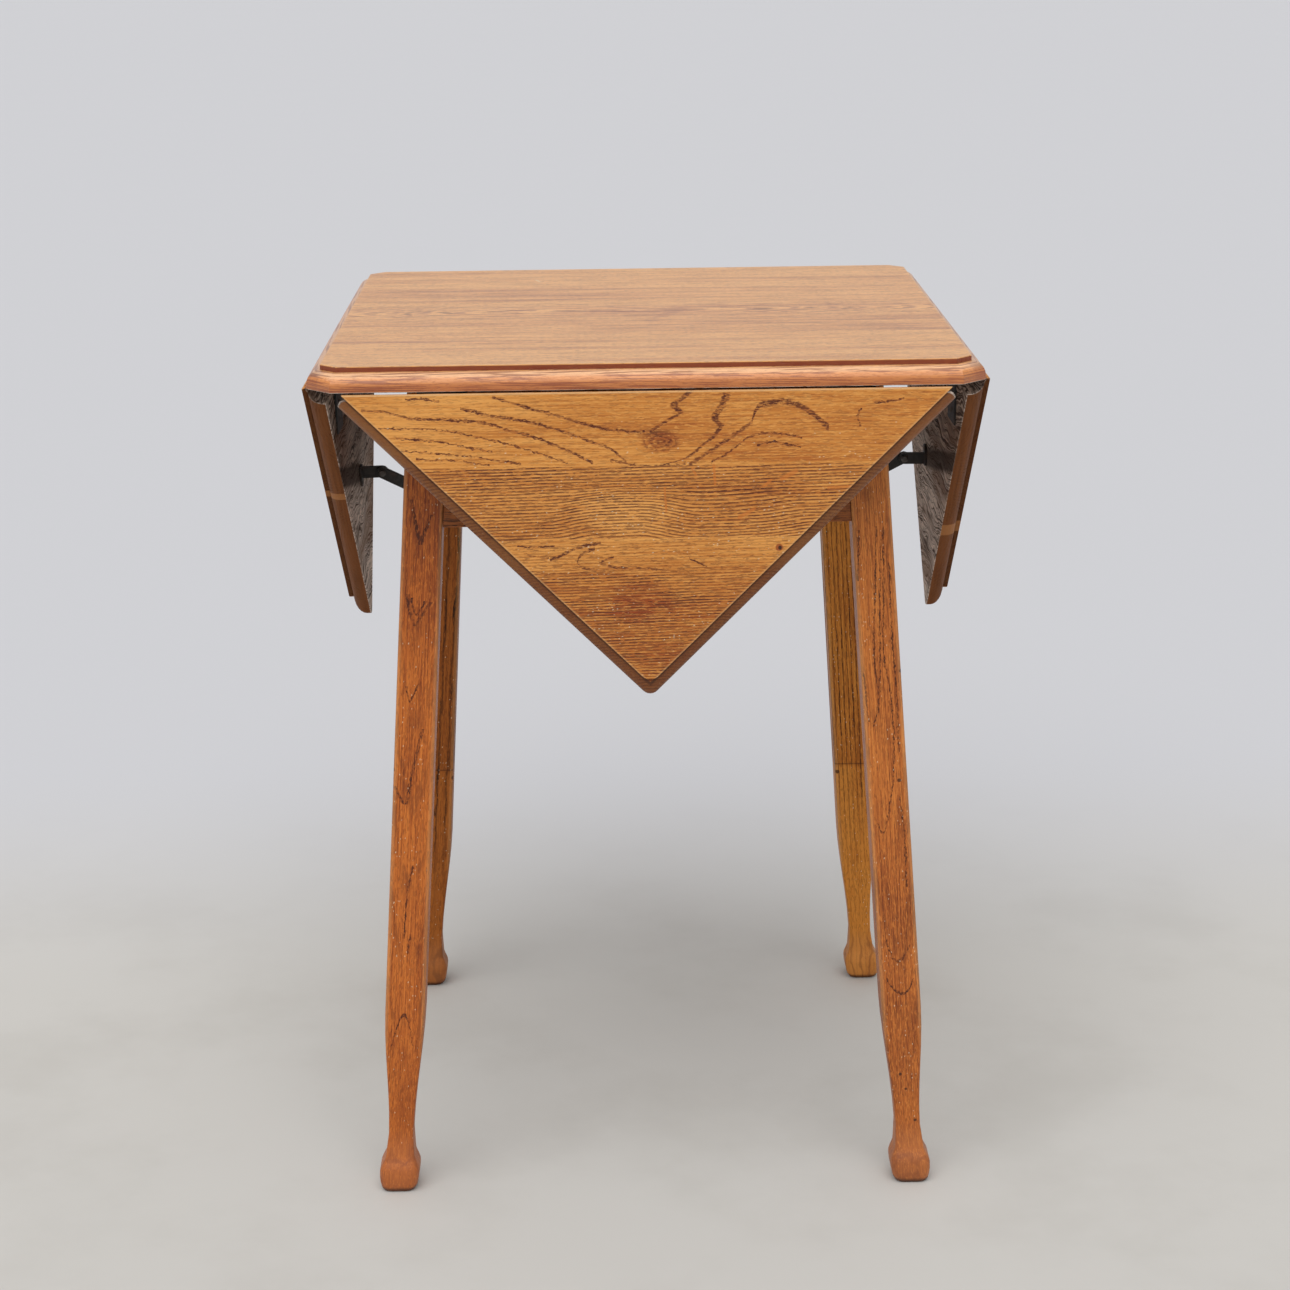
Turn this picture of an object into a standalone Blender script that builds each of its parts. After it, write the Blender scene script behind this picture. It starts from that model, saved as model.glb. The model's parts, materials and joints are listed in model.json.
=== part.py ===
"""Square oak table with four triangular drop leaves, shown with every leaf hanging.

Each leaf meets the board in a rule joint on two hinges. An iron stay bar is riveted to a
bracket under each leaf and slides through a keeper below the apron as the leaf is raised.
Units are metres, +Z is up, the front faces -Y and the floor is z = 0 under the table's centre.
"""

import math

import bmesh
import bpy
from mathutils import Matrix, Vector

# Clearances
SEAT_GAP = 0.0003
JOINT_GAP = 0.0008
COVE_CLEARANCE = 0.0006

# Top board
TABLE_HEIGHT = 0.730
FIELD_WIDTH = 0.517
CORNER_CLIP = 0.0137
BOARD_THICKNESS = 0.019
FILLET_STEP = 0.0045
OVOLO_WIDTH = 0.011
EDGE_FLAT = 0.004
OVOLO_STEPS = 6

# Leaves
LEAF_END_INSET = 0.0185
FIELD_TIP_RADIUS = 0.0095
EDGE_TIP_RADIUS = 0.008
TIP_STEPS = 6
COVE_SEGMENTS = 56
LEAF_TRAVEL = math.radians(90)
LEFT_LEAF_LEAN = math.radians(1.7)

# Hinges: the axis lies inside the field's edge and above the board's underside
HINGE_INSET = 0.0016
HINGE_RISE = 0.0014
HINGE_WIDTH = 0.040
HINGE_END_DISTANCE = 0.078
HINGE_PLATE = 0.0015
BARREL_TO_PLATE = 0.0004
BOARD_PLATE_LENGTH = 0.028
LEAF_PLATE_LENGTH = 0.052
CENTRE_KNUCKLE = 0.0146
PIN_RADIUS = 0.0012
BARREL_SEGMENTS = 14
GROOVE_CLEARANCE = 0.0008

# Legs
LEG_WIDTH = 0.033
LEG_EDGE_RADIUS = 0.0025
LEG_INSET = 0.0816
FOOT_SPREAD = 0.0468
KNEE_WIDTH = 0.034
TAPER_LENGTH = 0.113
NECK_WIDTH = 0.0213
NECK_RISE = 0.018
SHOULDER_RISE = 0.016
SHOULDER_SHARE = 0.75
FOOT_WIDTH = 0.0345
FOOT_WIDEST = 0.018
SOLE_WIDTH = 0.025
FOOT_EDGE_RADIUS = 0.0075
TAPER_STEPS = 6
FOOT_STEPS = 5
CORNER_STEPS = 3

# Aprons and corner blocks
APRON_HEIGHT = 0.126
APRON_THICKNESS = 0.018
APRON_SETBACK = 0.002
TENON_THICKNESS = 0.008
TENON_LENGTH = 0.012
TENON_SHOULDER = 0.012
BLOCK_LENGTH = 0.042
BLOCK_HEIGHT = 0.045

# Stays
STAY_OFFSET = 0.015
PIVOT_ABOVE_APRON = 0.0063
LUG_LENGTH = 0.020
LUG_THICKNESS = 0.004
BAR_HEIGHT = 0.0102
BAR_THICKNESS = 0.004
BAR_TURN = math.radians(42)
STEEPEST_BAR = math.radians(26)
BEND_BEFORE_KEEPER = 0.008
TAIL_PAST_KEEPER = 0.014
NOTCH_DEPTH = 0.002
NOTCH_LENGTH = 0.012
BRACKET_REACH = 0.0075
BRACKET_HEEL = 0.0012
BRACKET_WIDTH = 0.014
BRACKET_THICKNESS = 0.002
RIVET_RADIUS = 0.0019
RIVET_HEAD_RADIUS = 0.0034
RIVET_HEAD_HEIGHT = 0.0016
RIVET_FLAT_RADIUS = 0.0020
RIVET_CROWN_HEIGHT = 0.0011
KEEPER_STRAP = 0.002
KEEPER_WIDTH = 0.008
KEEPER_PLAY = 0.0009
KEEPER_FOOT = 0.014
ROUND_SEGMENTS = 14

# Derived places in a side's own frame: X along the side, Y outward, Z up
HALF_FIELD = FIELD_WIDTH / 2
UNDERSIDE = TABLE_HEIGHT - BOARD_THICKNESS
AXIS_REACH = HALF_FIELD - HINGE_INSET
AXIS_HEIGHT = UNDERSIDE + HINGE_RISE
JOINT_EDGE = HINGE_INSET + JOINT_GAP
LEAF_HALF_WIDTH = HALF_FIELD - LEAF_END_INSET
HINGE_PLACE = LEAF_HALF_WIDTH - HINGE_END_DISTANCE
PLATE_TOP = -HINGE_RISE - SEAT_GAP
BARREL_RADIUS = HINGE_RISE + SEAT_GAP + HINGE_PLATE
BORE_RADIUS = PIN_RADIUS + SEAT_GAP
PLATE_START = BARREL_RADIUS + BARREL_TO_PLATE
LEG_TOP_REACH = HALF_FIELD - LEG_INSET
SPLAY = FOOT_SPREAD / UNDERSIDE
FOOT_HEIGHT = FOOT_WIDEST + SHOULDER_RISE
NECK_HEIGHT = FOOT_HEIGHT + NECK_RISE
FRAME_TOP = UNDERSIDE - SEAT_GAP
APRON_BOTTOM = FRAME_TOP - APRON_HEIGHT
STAY_DISTANCE = AXIS_HEIGHT - APRON_BOTTOM - PIVOT_ABOVE_APRON
PIVOT_DEPTH = HINGE_RISE + LUG_LENGTH
LUG_TOP = PLATE_TOP - BRACKET_THICKNESS
KEEPER_DROP = (BAR_HEIGHT / 2 / math.cos(STEEPEST_BAR)
               + APRON_THICKNESS / 2 * math.tan(STEEPEST_BAR) + SEAT_GAP)
KEEPER_DEPTH = (KEEPER_DROP + BAR_HEIGHT / 2 / math.cos(STEEPEST_BAR)
                + KEEPER_WIDTH / 2 * math.tan(STEEPEST_BAR) + KEEPER_PLAY)

# Each side's turn about Z, which carries +Y to the side's outward direction
SIDES = {
    "front": math.pi,
    "right": -math.pi / 2,
    "back": 0.0,
    "left": math.pi / 2,
}
# Whether a bracket's foot reaches down the hanging leaf from its lug, 1, or up, -1
BRACKET_DIRECTIONS = {"front": 1, "right": -1, "back": -1, "left": 1}
CORNERS = {
    "back_right": 0.0,
    "back_left": math.pi / 2,
    "front_left": math.pi,
    "front_right": -math.pi / 2,
}


# Materials

def material(name, colour, roughness, metallic=0.0):
    made = bpy.data.materials.new(name)
    made.use_nodes = True
    shader = made.node_tree.nodes["Principled BSDF"]
    shader.inputs["Base Color"].default_value = (*colour, 1.0)
    shader.inputs["Roughness"].default_value = roughness
    shader.inputs["Metallic"].default_value = metallic
    return made


# Mesh helpers

def mesh_from(shape, name, smooth_angle=30):
    bmesh.ops.recalc_face_normals(shape, faces=shape.faces)
    mesh = bpy.data.meshes.new(name)
    shape.to_mesh(mesh)
    shape.free()
    mesh.shade_smooth()
    mesh.set_sharp_from_angle(angle=math.radians(smooth_angle))
    return mesh


def loft(rings, name):
    """Close a skin over rings of equal point count, capped at both ends."""
    shape = bmesh.new()
    loops = [[shape.verts.new(point) for point in ring] for ring in rings]
    count = len(loops[0])
    for near, far in zip(loops, loops[1:]):
        for index in range(count):
            after = (index + 1) % count
            shape.faces.new((near[index], near[after], far[after], far[index]))
    shape.faces.new(loops[0])
    shape.faces.new(loops[-1])
    return mesh_from(shape, name)


def plate_xy(outline, low, high, name):
    """Extrude an outline of (x, y) points between two heights."""
    return loft([[(x, y, z) for x, y in outline] for z in (low, high)], name)


def plate_yz(outline, low, high, name):
    """Extrude an outline of (y, z) points between two places along X."""
    return loft([[(x, y, z) for y, z in outline] for x in (low, high)], name)


def box(low, high, name):
    corners = [(low[0], low[1]), (high[0], low[1]), (high[0], high[1]), (low[0], high[1])]
    return plate_xy(corners, low[2], high[2], name)


def turned(profile, centre, name, segments=ROUND_SEGMENTS):
    """Turn (x, radius) points about a line along X through a (y, z) centre."""
    rings = []
    for x, radius in profile:
        circle = arc(centre, radius, 0.0, math.tau, segments)[:-1]
        rings.append([(x, y, z) for y, z in circle])
    return loft(rings, name)


def combine(mesh, other, operation):
    """Boolean of two meshes that share one frame."""
    base = bpy.data.objects.new("base", mesh)
    tool = bpy.data.objects.new("tool", other)
    for item in (base, tool):
        bpy.context.scene.collection.objects.link(item)
    step = base.modifiers.new("cut", "BOOLEAN")
    step.operation = operation
    step.object = tool
    graph = bpy.context.evaluated_depsgraph_get()
    result = bpy.data.meshes.new_from_object(base.evaluated_get(graph))
    result.name = mesh.name
    for item in (base, tool):
        bpy.data.objects.remove(item)
    return result


def cut(mesh, tool):
    return combine(mesh, tool, "DIFFERENCE")


def join(mesh, tool):
    return combine(mesh, tool, "UNION")


def arc(centre, radius, start, stop, steps):
    angles = [start + (stop - start) * step / steps for step in range(steps + 1)]
    return [(centre[0] + radius * math.cos(a), centre[1] + radius * math.sin(a)) for a in angles]


# Shared profiles

def edge_profile():
    """Moulded edge as (offset from the field, height above the underside), bottom to top."""
    rise = BOARD_THICKNESS - FILLET_STEP - EDGE_FLAT
    points = [(OVOLO_WIDTH, 0.0)]
    for step in range(OVOLO_STEPS + 1):
        angle = math.pi / 2 * step / OVOLO_STEPS
        points.append((OVOLO_WIDTH * math.cos(angle), EDGE_FLAT + rise * math.sin(angle)))
    points.append((0.0, BOARD_THICKNESS))
    return points


def cove_radius():
    """The leaf's hollow clears every point of the board's rounded edge."""
    rounded = edge_profile()[:-1]
    reach = max(math.hypot(x + HINGE_INSET, z - HINGE_RISE) for x, z in rounded)
    return reach + COVE_CLEARANCE


def leg_centre(height):
    return LEG_TOP_REACH + (UNDERSIDE - height) * SPLAY


def apron_faces(height):
    outer = leg_centre(height) + LEG_WIDTH / 2 - APRON_SETBACK
    return outer - APRON_THICKNESS, outer


def apron_half_length(height):
    return leg_centre(height) - LEG_WIDTH / 2 - SEAT_GAP


# Stay geometry in a side's frame, as (outward, up) points with the leaf hanging straight

def turned_point(point, angle):
    return Vector((point[0] * math.cos(angle) - point[1] * math.sin(angle),
                   point[0] * math.sin(angle) + point[1] * math.cos(angle)))


def keeper_point():
    return Vector((sum(apron_faces(APRON_BOTTOM)) / 2, APRON_BOTTOM - KEEPER_DROP))


def pivot_point(leaf_angle):
    axis = Vector((AXIS_REACH, AXIS_HEIGHT))
    return axis + turned_point((-PIVOT_DEPTH, -STAY_DISTANCE), leaf_angle)


def keeper_seen_from_bar(leaf_angle):
    """Place of the keeper in the bar's own frame, whose origin is the pivot."""
    bar_angle = BAR_TURN * leaf_angle / LEAF_TRAVEL
    return turned_point(keeper_point() - pivot_point(leaf_angle), -bar_angle)


# Wooden parts

def top_board():
    rings = []
    for offset, height in edge_profile():
        straight = HALF_FIELD + offset
        clip = CORNER_CLIP + offset * (2 - math.sqrt(2))
        corner = straight - clip
        ring = []
        for turn in range(4):
            angle = math.pi / 2 * turn
            for point in ((straight, -corner), (straight, corner)):
                x, y = turned_point(point, angle)
                ring.append((x, y, UNDERSIDE + height))
        rings.append(ring)
    board = loft(rings, "top_board")
    groove = BARREL_RADIUS + GROOVE_CLEARANCE
    reach = HINGE_WIDTH / 2 + GROOVE_CLEARANCE
    for turn in SIDES.values():
        for place in (-HINGE_PLACE, HINGE_PLACE):
            tool = turned([(place - reach, groove), (place + reach, groove)],
                          (AXIS_REACH, AXIS_HEIGHT), "groove", BARREL_SEGMENTS)
            tool.transform(Matrix.Rotation(turn, 4, "Z"))
            board = cut(board, tool)
    return board


def leaf_outline(offset):
    """Outline of the leaf at one offset from its field, along X with Y away from the hinge."""
    half = LEAF_HALF_WIDTH + offset * math.sqrt(2)
    apex = JOINT_EDGE + half
    radius = FIELD_TIP_RADIUS + (EDGE_TIP_RADIUS - FIELD_TIP_RADIUS) * offset / OVOLO_WIDTH
    centre = (0.0, apex - radius * math.sqrt(2))
    tip = arc(centre, radius, math.pi / 4, 3 * math.pi / 4, TIP_STEPS)
    return [(half, JOINT_EDGE), *tip, (-half, JOINT_EDGE)]


def leaf():
    """Leaf with its hinge axis on X, Y away from the hinge and the show face up."""
    rings = []
    for offset, height in edge_profile():
        rings.append([(x, y, height - HINGE_RISE) for x, y in leaf_outline(offset)])
    reach = LEAF_HALF_WIDTH + 2 * OVOLO_WIDTH
    tool = turned([(-reach, cove_radius()), (reach, cove_radius())], (0.0, 0.0), "cove", COVE_SEGMENTS)
    return cut(loft(rings, "leaf"), tool)


def rounded_square(half, radius, centre, height):
    inner = half - radius
    points = []
    for quarter, (x, y) in enumerate(((1, 1), (-1, 1), (-1, -1), (1, -1))):
        start = math.pi / 2 * quarter
        middle = (centre + x * inner, centre + y * inner)
        points.extend(arc(middle, radius, start, start + math.pi / 2, CORNER_STEPS))
    return [(x, y, height) for x, y in points]


def eased(share):
    return share * share * (3 - 2 * share)


def leg_sections():
    """(height, width, edge radius) from the sole up to the frame."""
    sections = []
    for step in range(FOOT_STEPS):
        angle = math.pi / 2 * step / FOOT_STEPS
        width = SOLE_WIDTH + (FOOT_WIDTH - SOLE_WIDTH) * math.sin(angle)
        sections.append((FOOT_WIDEST * (1 - math.cos(angle)), width, FOOT_EDGE_RADIUS))
    for step in range(FOOT_STEPS + 1):
        share = step / FOOT_STEPS
        height = FOOT_WIDEST + (FOOT_HEIGHT - FOOT_WIDEST) * share
        drop = (FOOT_WIDTH - NECK_WIDTH) * SHOULDER_SHARE * eased(share)
        radius = FOOT_EDGE_RADIUS + (LEG_EDGE_RADIUS - FOOT_EDGE_RADIUS) * share
        sections.append((height, FOOT_WIDTH - drop, radius))
    for step in range(TAPER_STEPS + 1):
        share = step / TAPER_STEPS
        width = NECK_WIDTH + (KNEE_WIDTH - NECK_WIDTH) * eased(share)
        sections.append((NECK_HEIGHT + TAPER_LENGTH * share, width, LEG_EDGE_RADIUS))
    sections.append((APRON_BOTTOM, LEG_WIDTH, LEG_EDGE_RADIUS))
    sections.append((FRAME_TOP, LEG_WIDTH, LEG_EDGE_RADIUS))
    return sections


def tenon_block(extra, name):
    """Tenon at the +X end of an apron, swollen by extra for the mortise it enters."""
    rings = []
    low = APRON_BOTTOM + TENON_SHOULDER - extra
    high = FRAME_TOP - TENON_SHOULDER + extra
    for height in (low, high):
        middle = sum(apron_faces(height)) / 2
        half = TENON_THICKNESS / 2 + extra
        root = apron_half_length(height) - TENON_LENGTH / 2
        end = apron_half_length(height) + TENON_LENGTH + extra
        rings.append([(root, middle - half, height), (end, middle - half, height),
                      (end, middle + half, height), (root, middle + half, height)])
    return loft(rings, name)


def leg():
    """Leg of the corner at +X +Y, with a mortise in each inner face."""
    rings = []
    for height, width, radius in leg_sections():
        rings.append(rounded_square(width / 2, radius, leg_centre(height), height))
    shape = loft(rings, "leg")
    swap = Matrix(((0, 1, 0, 0), (1, 0, 0, 0), (0, 0, 1, 0), (0, 0, 0, 1)))
    shape = cut(shape, tenon_block(SEAT_GAP, "mortise"))
    crossing = tenon_block(SEAT_GAP, "mortise")
    crossing.transform(swap)
    crossing.flip_normals()
    return cut(shape, crossing)


def apron():
    rings = []
    for height in (APRON_BOTTOM, FRAME_TOP):
        inner, outer = apron_faces(height)
        half = apron_half_length(height)
        corners = [(-half, inner), (half, inner), (half, outer), (-half, outer)]
        rings.append([(x, y, height) for x, y in corners])
    shape = join(loft(rings, "apron"), tenon_block(0.0, "tenon"))
    far = tenon_block(0.0, "tenon")
    far.transform(Matrix.Scale(-1, 4, (1, 0, 0)))
    far.flip_normals()
    return join(shape, far)


def corner_block():
    """Glue block of the corner at +X +Y, notched round the leg and held against both aprons."""
    rings = []
    for height in (FRAME_TOP - BLOCK_HEIGHT, FRAME_TOP):
        wall = apron_faces(height)[0] - SEAT_GAP
        post = leg_centre(height) - LEG_WIDTH / 2 - SEAT_GAP
        far = post - BLOCK_LENGTH
        outline = [(far, wall), (post, wall), (post, post), (wall, post), (wall, far)]
        rings.append([(x, y, height) for x, y in outline])
    return loft(rings, "corner_block")


# Hinges, in the leaf's frame turned level: X along the axis, Y outward, Z up

def knuckle_outline(direction):
    """Section of a barrel and the tongue that runs from it into the plate."""
    low = PLATE_TOP - HINGE_PLATE
    end = PLATE_START + HINGE_PLATE
    meeting = math.asin(PLATE_TOP / BARREL_RADIUS)
    barrel = arc((0.0, 0.0), BARREL_RADIUS, -math.pi / 2, meeting - math.tau, BARREL_SEGMENTS)
    outline = [(end, low), *barrel, (end, PLATE_TOP)]
    return [(direction * y, z) for y, z in outline]


def hinge_plate(direction, length, spans, name):
    """Plate to one side of the axis with a tongue and a barrel over each span."""
    half = HINGE_WIDTH / 2
    near, far = sorted((direction * PLATE_START, direction * length))
    shape = box((-half, near, PLATE_TOP - HINGE_PLATE), (half, far, PLATE_TOP), name)
    for start, stop in spans:
        shape = join(shape, plate_yz(knuckle_outline(direction), start, stop, "knuckle"))
    ends = [(-HINGE_WIDTH, BORE_RADIUS), (HINGE_WIDTH, BORE_RADIUS)]
    return cut(shape, turned(ends, (0.0, 0.0), "bore", BARREL_SEGMENTS))


def hinge_board_plate():
    half = HINGE_WIDTH / 2
    inner = CENTRE_KNUCKLE / 2 + SEAT_GAP
    return hinge_plate(-1, BOARD_PLATE_LENGTH, [(-half, -inner), (inner, half)], "hinge_board_plate")


def hinge_leaf_plate():
    half = CENTRE_KNUCKLE / 2
    return hinge_plate(1, LEAF_PLATE_LENGTH, [(-half, half)], "hinge_leaf_plate")


def hinge_pin():
    half = HINGE_WIDTH / 2
    chamfer = PIN_RADIUS / 2
    profile = [(-half, PIN_RADIUS - chamfer), (-half + chamfer, PIN_RADIUS),
               (half - chamfer, PIN_RADIUS), (half, PIN_RADIUS - chamfer)]
    return turned(profile, (0.0, 0.0), "hinge_pin", BARREL_SEGMENTS // 2)


# Stays

def stay_bracket(direction):
    """Bracket in the leaf's frame: a lug that carries the pivot, and a foot to one side of it."""
    half = BAR_HEIGHT / 2
    radius = BRACKET_WIDTH / 2
    heel = half + BRACKET_HEEL
    shape = arc((0.0, half + BRACKET_REACH - radius), radius, 0.0, math.pi, TIP_STEPS)
    shape += [(-radius, -heel), (radius, -heel)]
    outline = [(-STAY_OFFSET + x * direction, STAY_DISTANCE + y * direction) for x, y in shape]
    foot = plate_xy(outline, LUG_TOP, PLATE_TOP, "stay_bracket")
    root = LUG_TOP + BRACKET_THICKNESS / 2
    lug = [(STAY_DISTANCE + half, root), (STAY_DISTANCE - half, root)]
    lug += arc((STAY_DISTANCE, -PIVOT_DEPTH), half, math.pi, math.tau, TIP_STEPS)
    bracket = join(foot, plate_yz(lug, -STAY_OFFSET, -STAY_OFFSET + LUG_THICKNESS, "lug"))
    return cut(bracket, rivet_hole(STAY_DISTANCE, -PIVOT_DEPTH))


def rivet_hole(y, z):
    radius = RIVET_RADIUS + SEAT_GAP
    reach = 2 * (LUG_THICKNESS + BAR_THICKNESS)
    return turned([(-STAY_OFFSET - reach, radius), (-STAY_OFFSET + reach, radius)], (y, z), "hole")


def stay_rivet():
    """Rivet in the leaf's frame, through the lug and the bar beside it."""
    low = -STAY_OFFSET - BAR_THICKNESS - 2 * SEAT_GAP
    high = -STAY_OFFSET + LUG_THICKNESS + SEAT_GAP
    rim = RIVET_HEAD_HEIGHT - RIVET_CROWN_HEIGHT
    head = [(RIVET_HEAD_HEIGHT, RIVET_FLAT_RADIUS), (rim, RIVET_HEAD_RADIUS),
            (0.0, RIVET_HEAD_RADIUS), (0.0, RIVET_RADIUS)]
    profile = [(low - rise, radius) for rise, radius in head]
    profile += [(high + rise, radius) for rise, radius in reversed(head)]
    return turned(profile, (STAY_DISTANCE, -PIVOT_DEPTH), "stay_rivet")


def stay_bar():
    """Bar in its own frame, with the pivot at the origin and the leaf hanging straight.

    Past the bend the bar follows the line on which the keeper travels in the bar's frame, so it
    slides through the keeper while the bar turns with the leaf.
    """
    start = keeper_seen_from_bar(0.0)
    end = keeper_seen_from_bar(LEAF_TRAVEL)
    along = (end - start).normalized()
    bend = start - along * BEND_BEFORE_KEEPER
    tail = end + along * TAIL_PAST_KEEPER
    half = BAR_HEIGHT / 2
    first = bend.normalized()
    left_first = Vector((-first.y, first.x)) * half
    left = Vector((-along.y, along.x)) * half
    eye_turn = math.atan2(left_first.y, left_first.x)
    tail_turn = math.atan2(-left.y, -left.x)
    mitre = (left_first + left).normalized()
    mitre *= half / mitre.dot(left.normalized())
    outline = arc((0.0, 0.0), half, eye_turn, eye_turn + math.pi, TIP_STEPS)
    outline.append(tuple(bend - mitre))
    outline += arc(tail, half, tail_turn, tail_turn + math.pi, TIP_STEPS)
    outline.append(tuple(bend + mitre))
    high = -STAY_OFFSET - SEAT_GAP
    low = high - BAR_THICKNESS
    shape = plate_yz(outline, low, high, "stay_bar")
    shape = cut(shape, rivet_hole(0.0, 0.0))
    return cut(shape, bar_notch(end, along, left))


def bar_notch(place, along, up):
    """Notch in the lower edge, over the keeper when the leaf is raised."""
    lower = up if up.y < 0 else -up
    half = along * NOTCH_LENGTH / 2
    top = place + lower * (1 - 2 * NOTCH_DEPTH / BAR_HEIGHT)
    base = place + lower * 2
    outline = [tuple(top - half), tuple(top + half), tuple(base + half), tuple(base - half)]
    reach = 2 * BAR_THICKNESS
    return plate_yz(outline, -STAY_OFFSET - reach, -STAY_OFFSET + reach, "notch")


def stay_keeper():
    """Bent strap under the apron in the side's frame: two feet and a loop round the bar."""
    middle = keeper_point().x
    centre = -STAY_OFFSET - SEAT_GAP - BAR_THICKNESS / 2
    inner = BAR_THICKNESS / 2 + KEEPER_PLAY
    outer = inner + KEEPER_STRAP
    top = APRON_BOTTOM - SEAT_GAP
    foot = outer + KEEPER_FOOT
    floor = APRON_BOTTOM - KEEPER_DEPTH
    half = [(inner, top), (foot, top), (foot, top - KEEPER_STRAP), (outer, top - KEEPER_STRAP),
            (outer, floor - KEEPER_STRAP)]
    mirrored = [(-x, z) for x, z in reversed(half)]
    outline = half + mirrored + [(-inner, floor), (inner, floor)]
    rings = []
    for y in (middle - KEEPER_WIDTH / 2, middle + KEEPER_WIDTH / 2):
        rings.append([(centre + x, y, z) for x, z in outline])
    return loft(rings, "stay_keeper")


# Assembly

def frame_empty(name, parent=None, place=(0.0, 0.0, 0.0), turn=(0.0, 0.0, 0.0)):
    empty = bpy.data.objects.new(name, None)
    bpy.context.scene.collection.objects.link(empty)
    empty.parent = parent
    empty.location = place
    empty.rotation_euler = turn
    return empty


def add_part(name, mesh, finish, parent, place=(0.0, 0.0, 0.0)):
    made = bpy.data.objects.new(name, mesh)
    bpy.context.scene.collection.objects.link(made)
    made.parent = parent
    made.location = place
    if not mesh.materials:
        mesh.materials.append(finish)
    return made


def lean_of(side):
    return LEFT_LEAF_LEAN if side == "left" else 0.0


def add_frame(oak, pale_oak):
    root = frame_empty("table_frame")
    add_part("top_board", top_board(), oak, root)
    leg_mesh = leg()
    block_mesh = corner_block()
    for corner, turn in CORNERS.items():
        post = frame_empty(f"corner_{corner}", root, turn=(0.0, 0.0, turn))
        add_part(f"leg_{corner}", leg_mesh, oak, post)
        add_part(f"corner_block_{corner}", block_mesh, pale_oak, post)
    return root


def add_side(side, turn, root, meshes, finishes):
    level = frame_empty(f"side_{side}", root, turn=(0.0, 0.0, turn))
    add_part(f"apron_{side}", meshes["apron"], finishes["oak"], level)
    add_part(f"stay_keeper_{side}", meshes["stay_keeper"], finishes["iron"], level)
    axis = (0.0, AXIS_REACH, AXIS_HEIGHT)
    lean = lean_of(side)
    swing = frame_empty(f"leaf_axis_{side}", level, axis, (-math.pi / 2 - lean, 0.0, 0.0))
    add_part(f"leaf_{side}", meshes["leaf"], finishes["oak"], swing)
    fixed = frame_empty(f"hinge_line_{side}", level, axis)
    hinge_pieces = {"hinge_board_plate": fixed, "hinge_pin": fixed, "hinge_leaf_plate": swing}
    for number, place in enumerate((-HINGE_PLACE, HINGE_PLACE), start=1):
        for piece, carrier in hinge_pieces.items():
            name = f"{piece}_{side}_{number}"
            add_part(name, meshes[piece], finishes["iron"], carrier, (place, 0.0, 0.0))
    bracket = meshes["stay_bracket", BRACKET_DIRECTIONS[side]]
    add_part(f"stay_bracket_{side}", bracket, finishes["iron"], swing)
    add_part(f"stay_rivet_{side}", meshes["stay_rivet"], finishes["iron"], swing)
    pivot = pivot_point(-lean)
    bar_turn = -lean * BAR_TURN / LEAF_TRAVEL
    bar_axis = frame_empty(f"stay_axis_{side}", level, (0.0, pivot.x, pivot.y), (bar_turn, 0.0, 0.0))
    add_part(f"stay_bar_{side}", meshes["stay_bar"], finishes["iron"], bar_axis)


def main():
    for item in list(bpy.data.objects):
        bpy.data.objects.remove(item)
    finishes = {
        "oak": material("oak", (0.42, 0.19, 0.06), 0.45),
        "pale_oak": material("unfinished_oak", (0.36, 0.25, 0.15), 0.8),
        "iron": material("black_iron", (0.025, 0.023, 0.021), 0.55, 0.9),
    }
    makers = (apron, leaf, stay_keeper, hinge_board_plate, hinge_pin, hinge_leaf_plate,
              stay_rivet, stay_bar)
    meshes = {maker.__name__: maker() for maker in makers}
    for direction in (1, -1):
        meshes["stay_bracket", direction] = stay_bracket(direction)
    root = add_frame(finishes["oak"], finishes["pale_oak"])
    for side, turn in SIDES.items():
        add_side(side, turn, root, meshes, finishes)
    bpy.context.view_layer.update()


main()
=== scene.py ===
"""Looks of the square oak table with four triangular drop leaves.

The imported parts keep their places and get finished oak, bare grey oak or black iron, made from
nodes in the parts' own coordinates. Screws are added, with a floor, soft light and a camera.
Units are metres, +Z is up and the front faces -Y.
"""

import json
import math
from typing import NamedTuple

import bmesh
import bpy
from mathutils import Matrix, Vector

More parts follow.
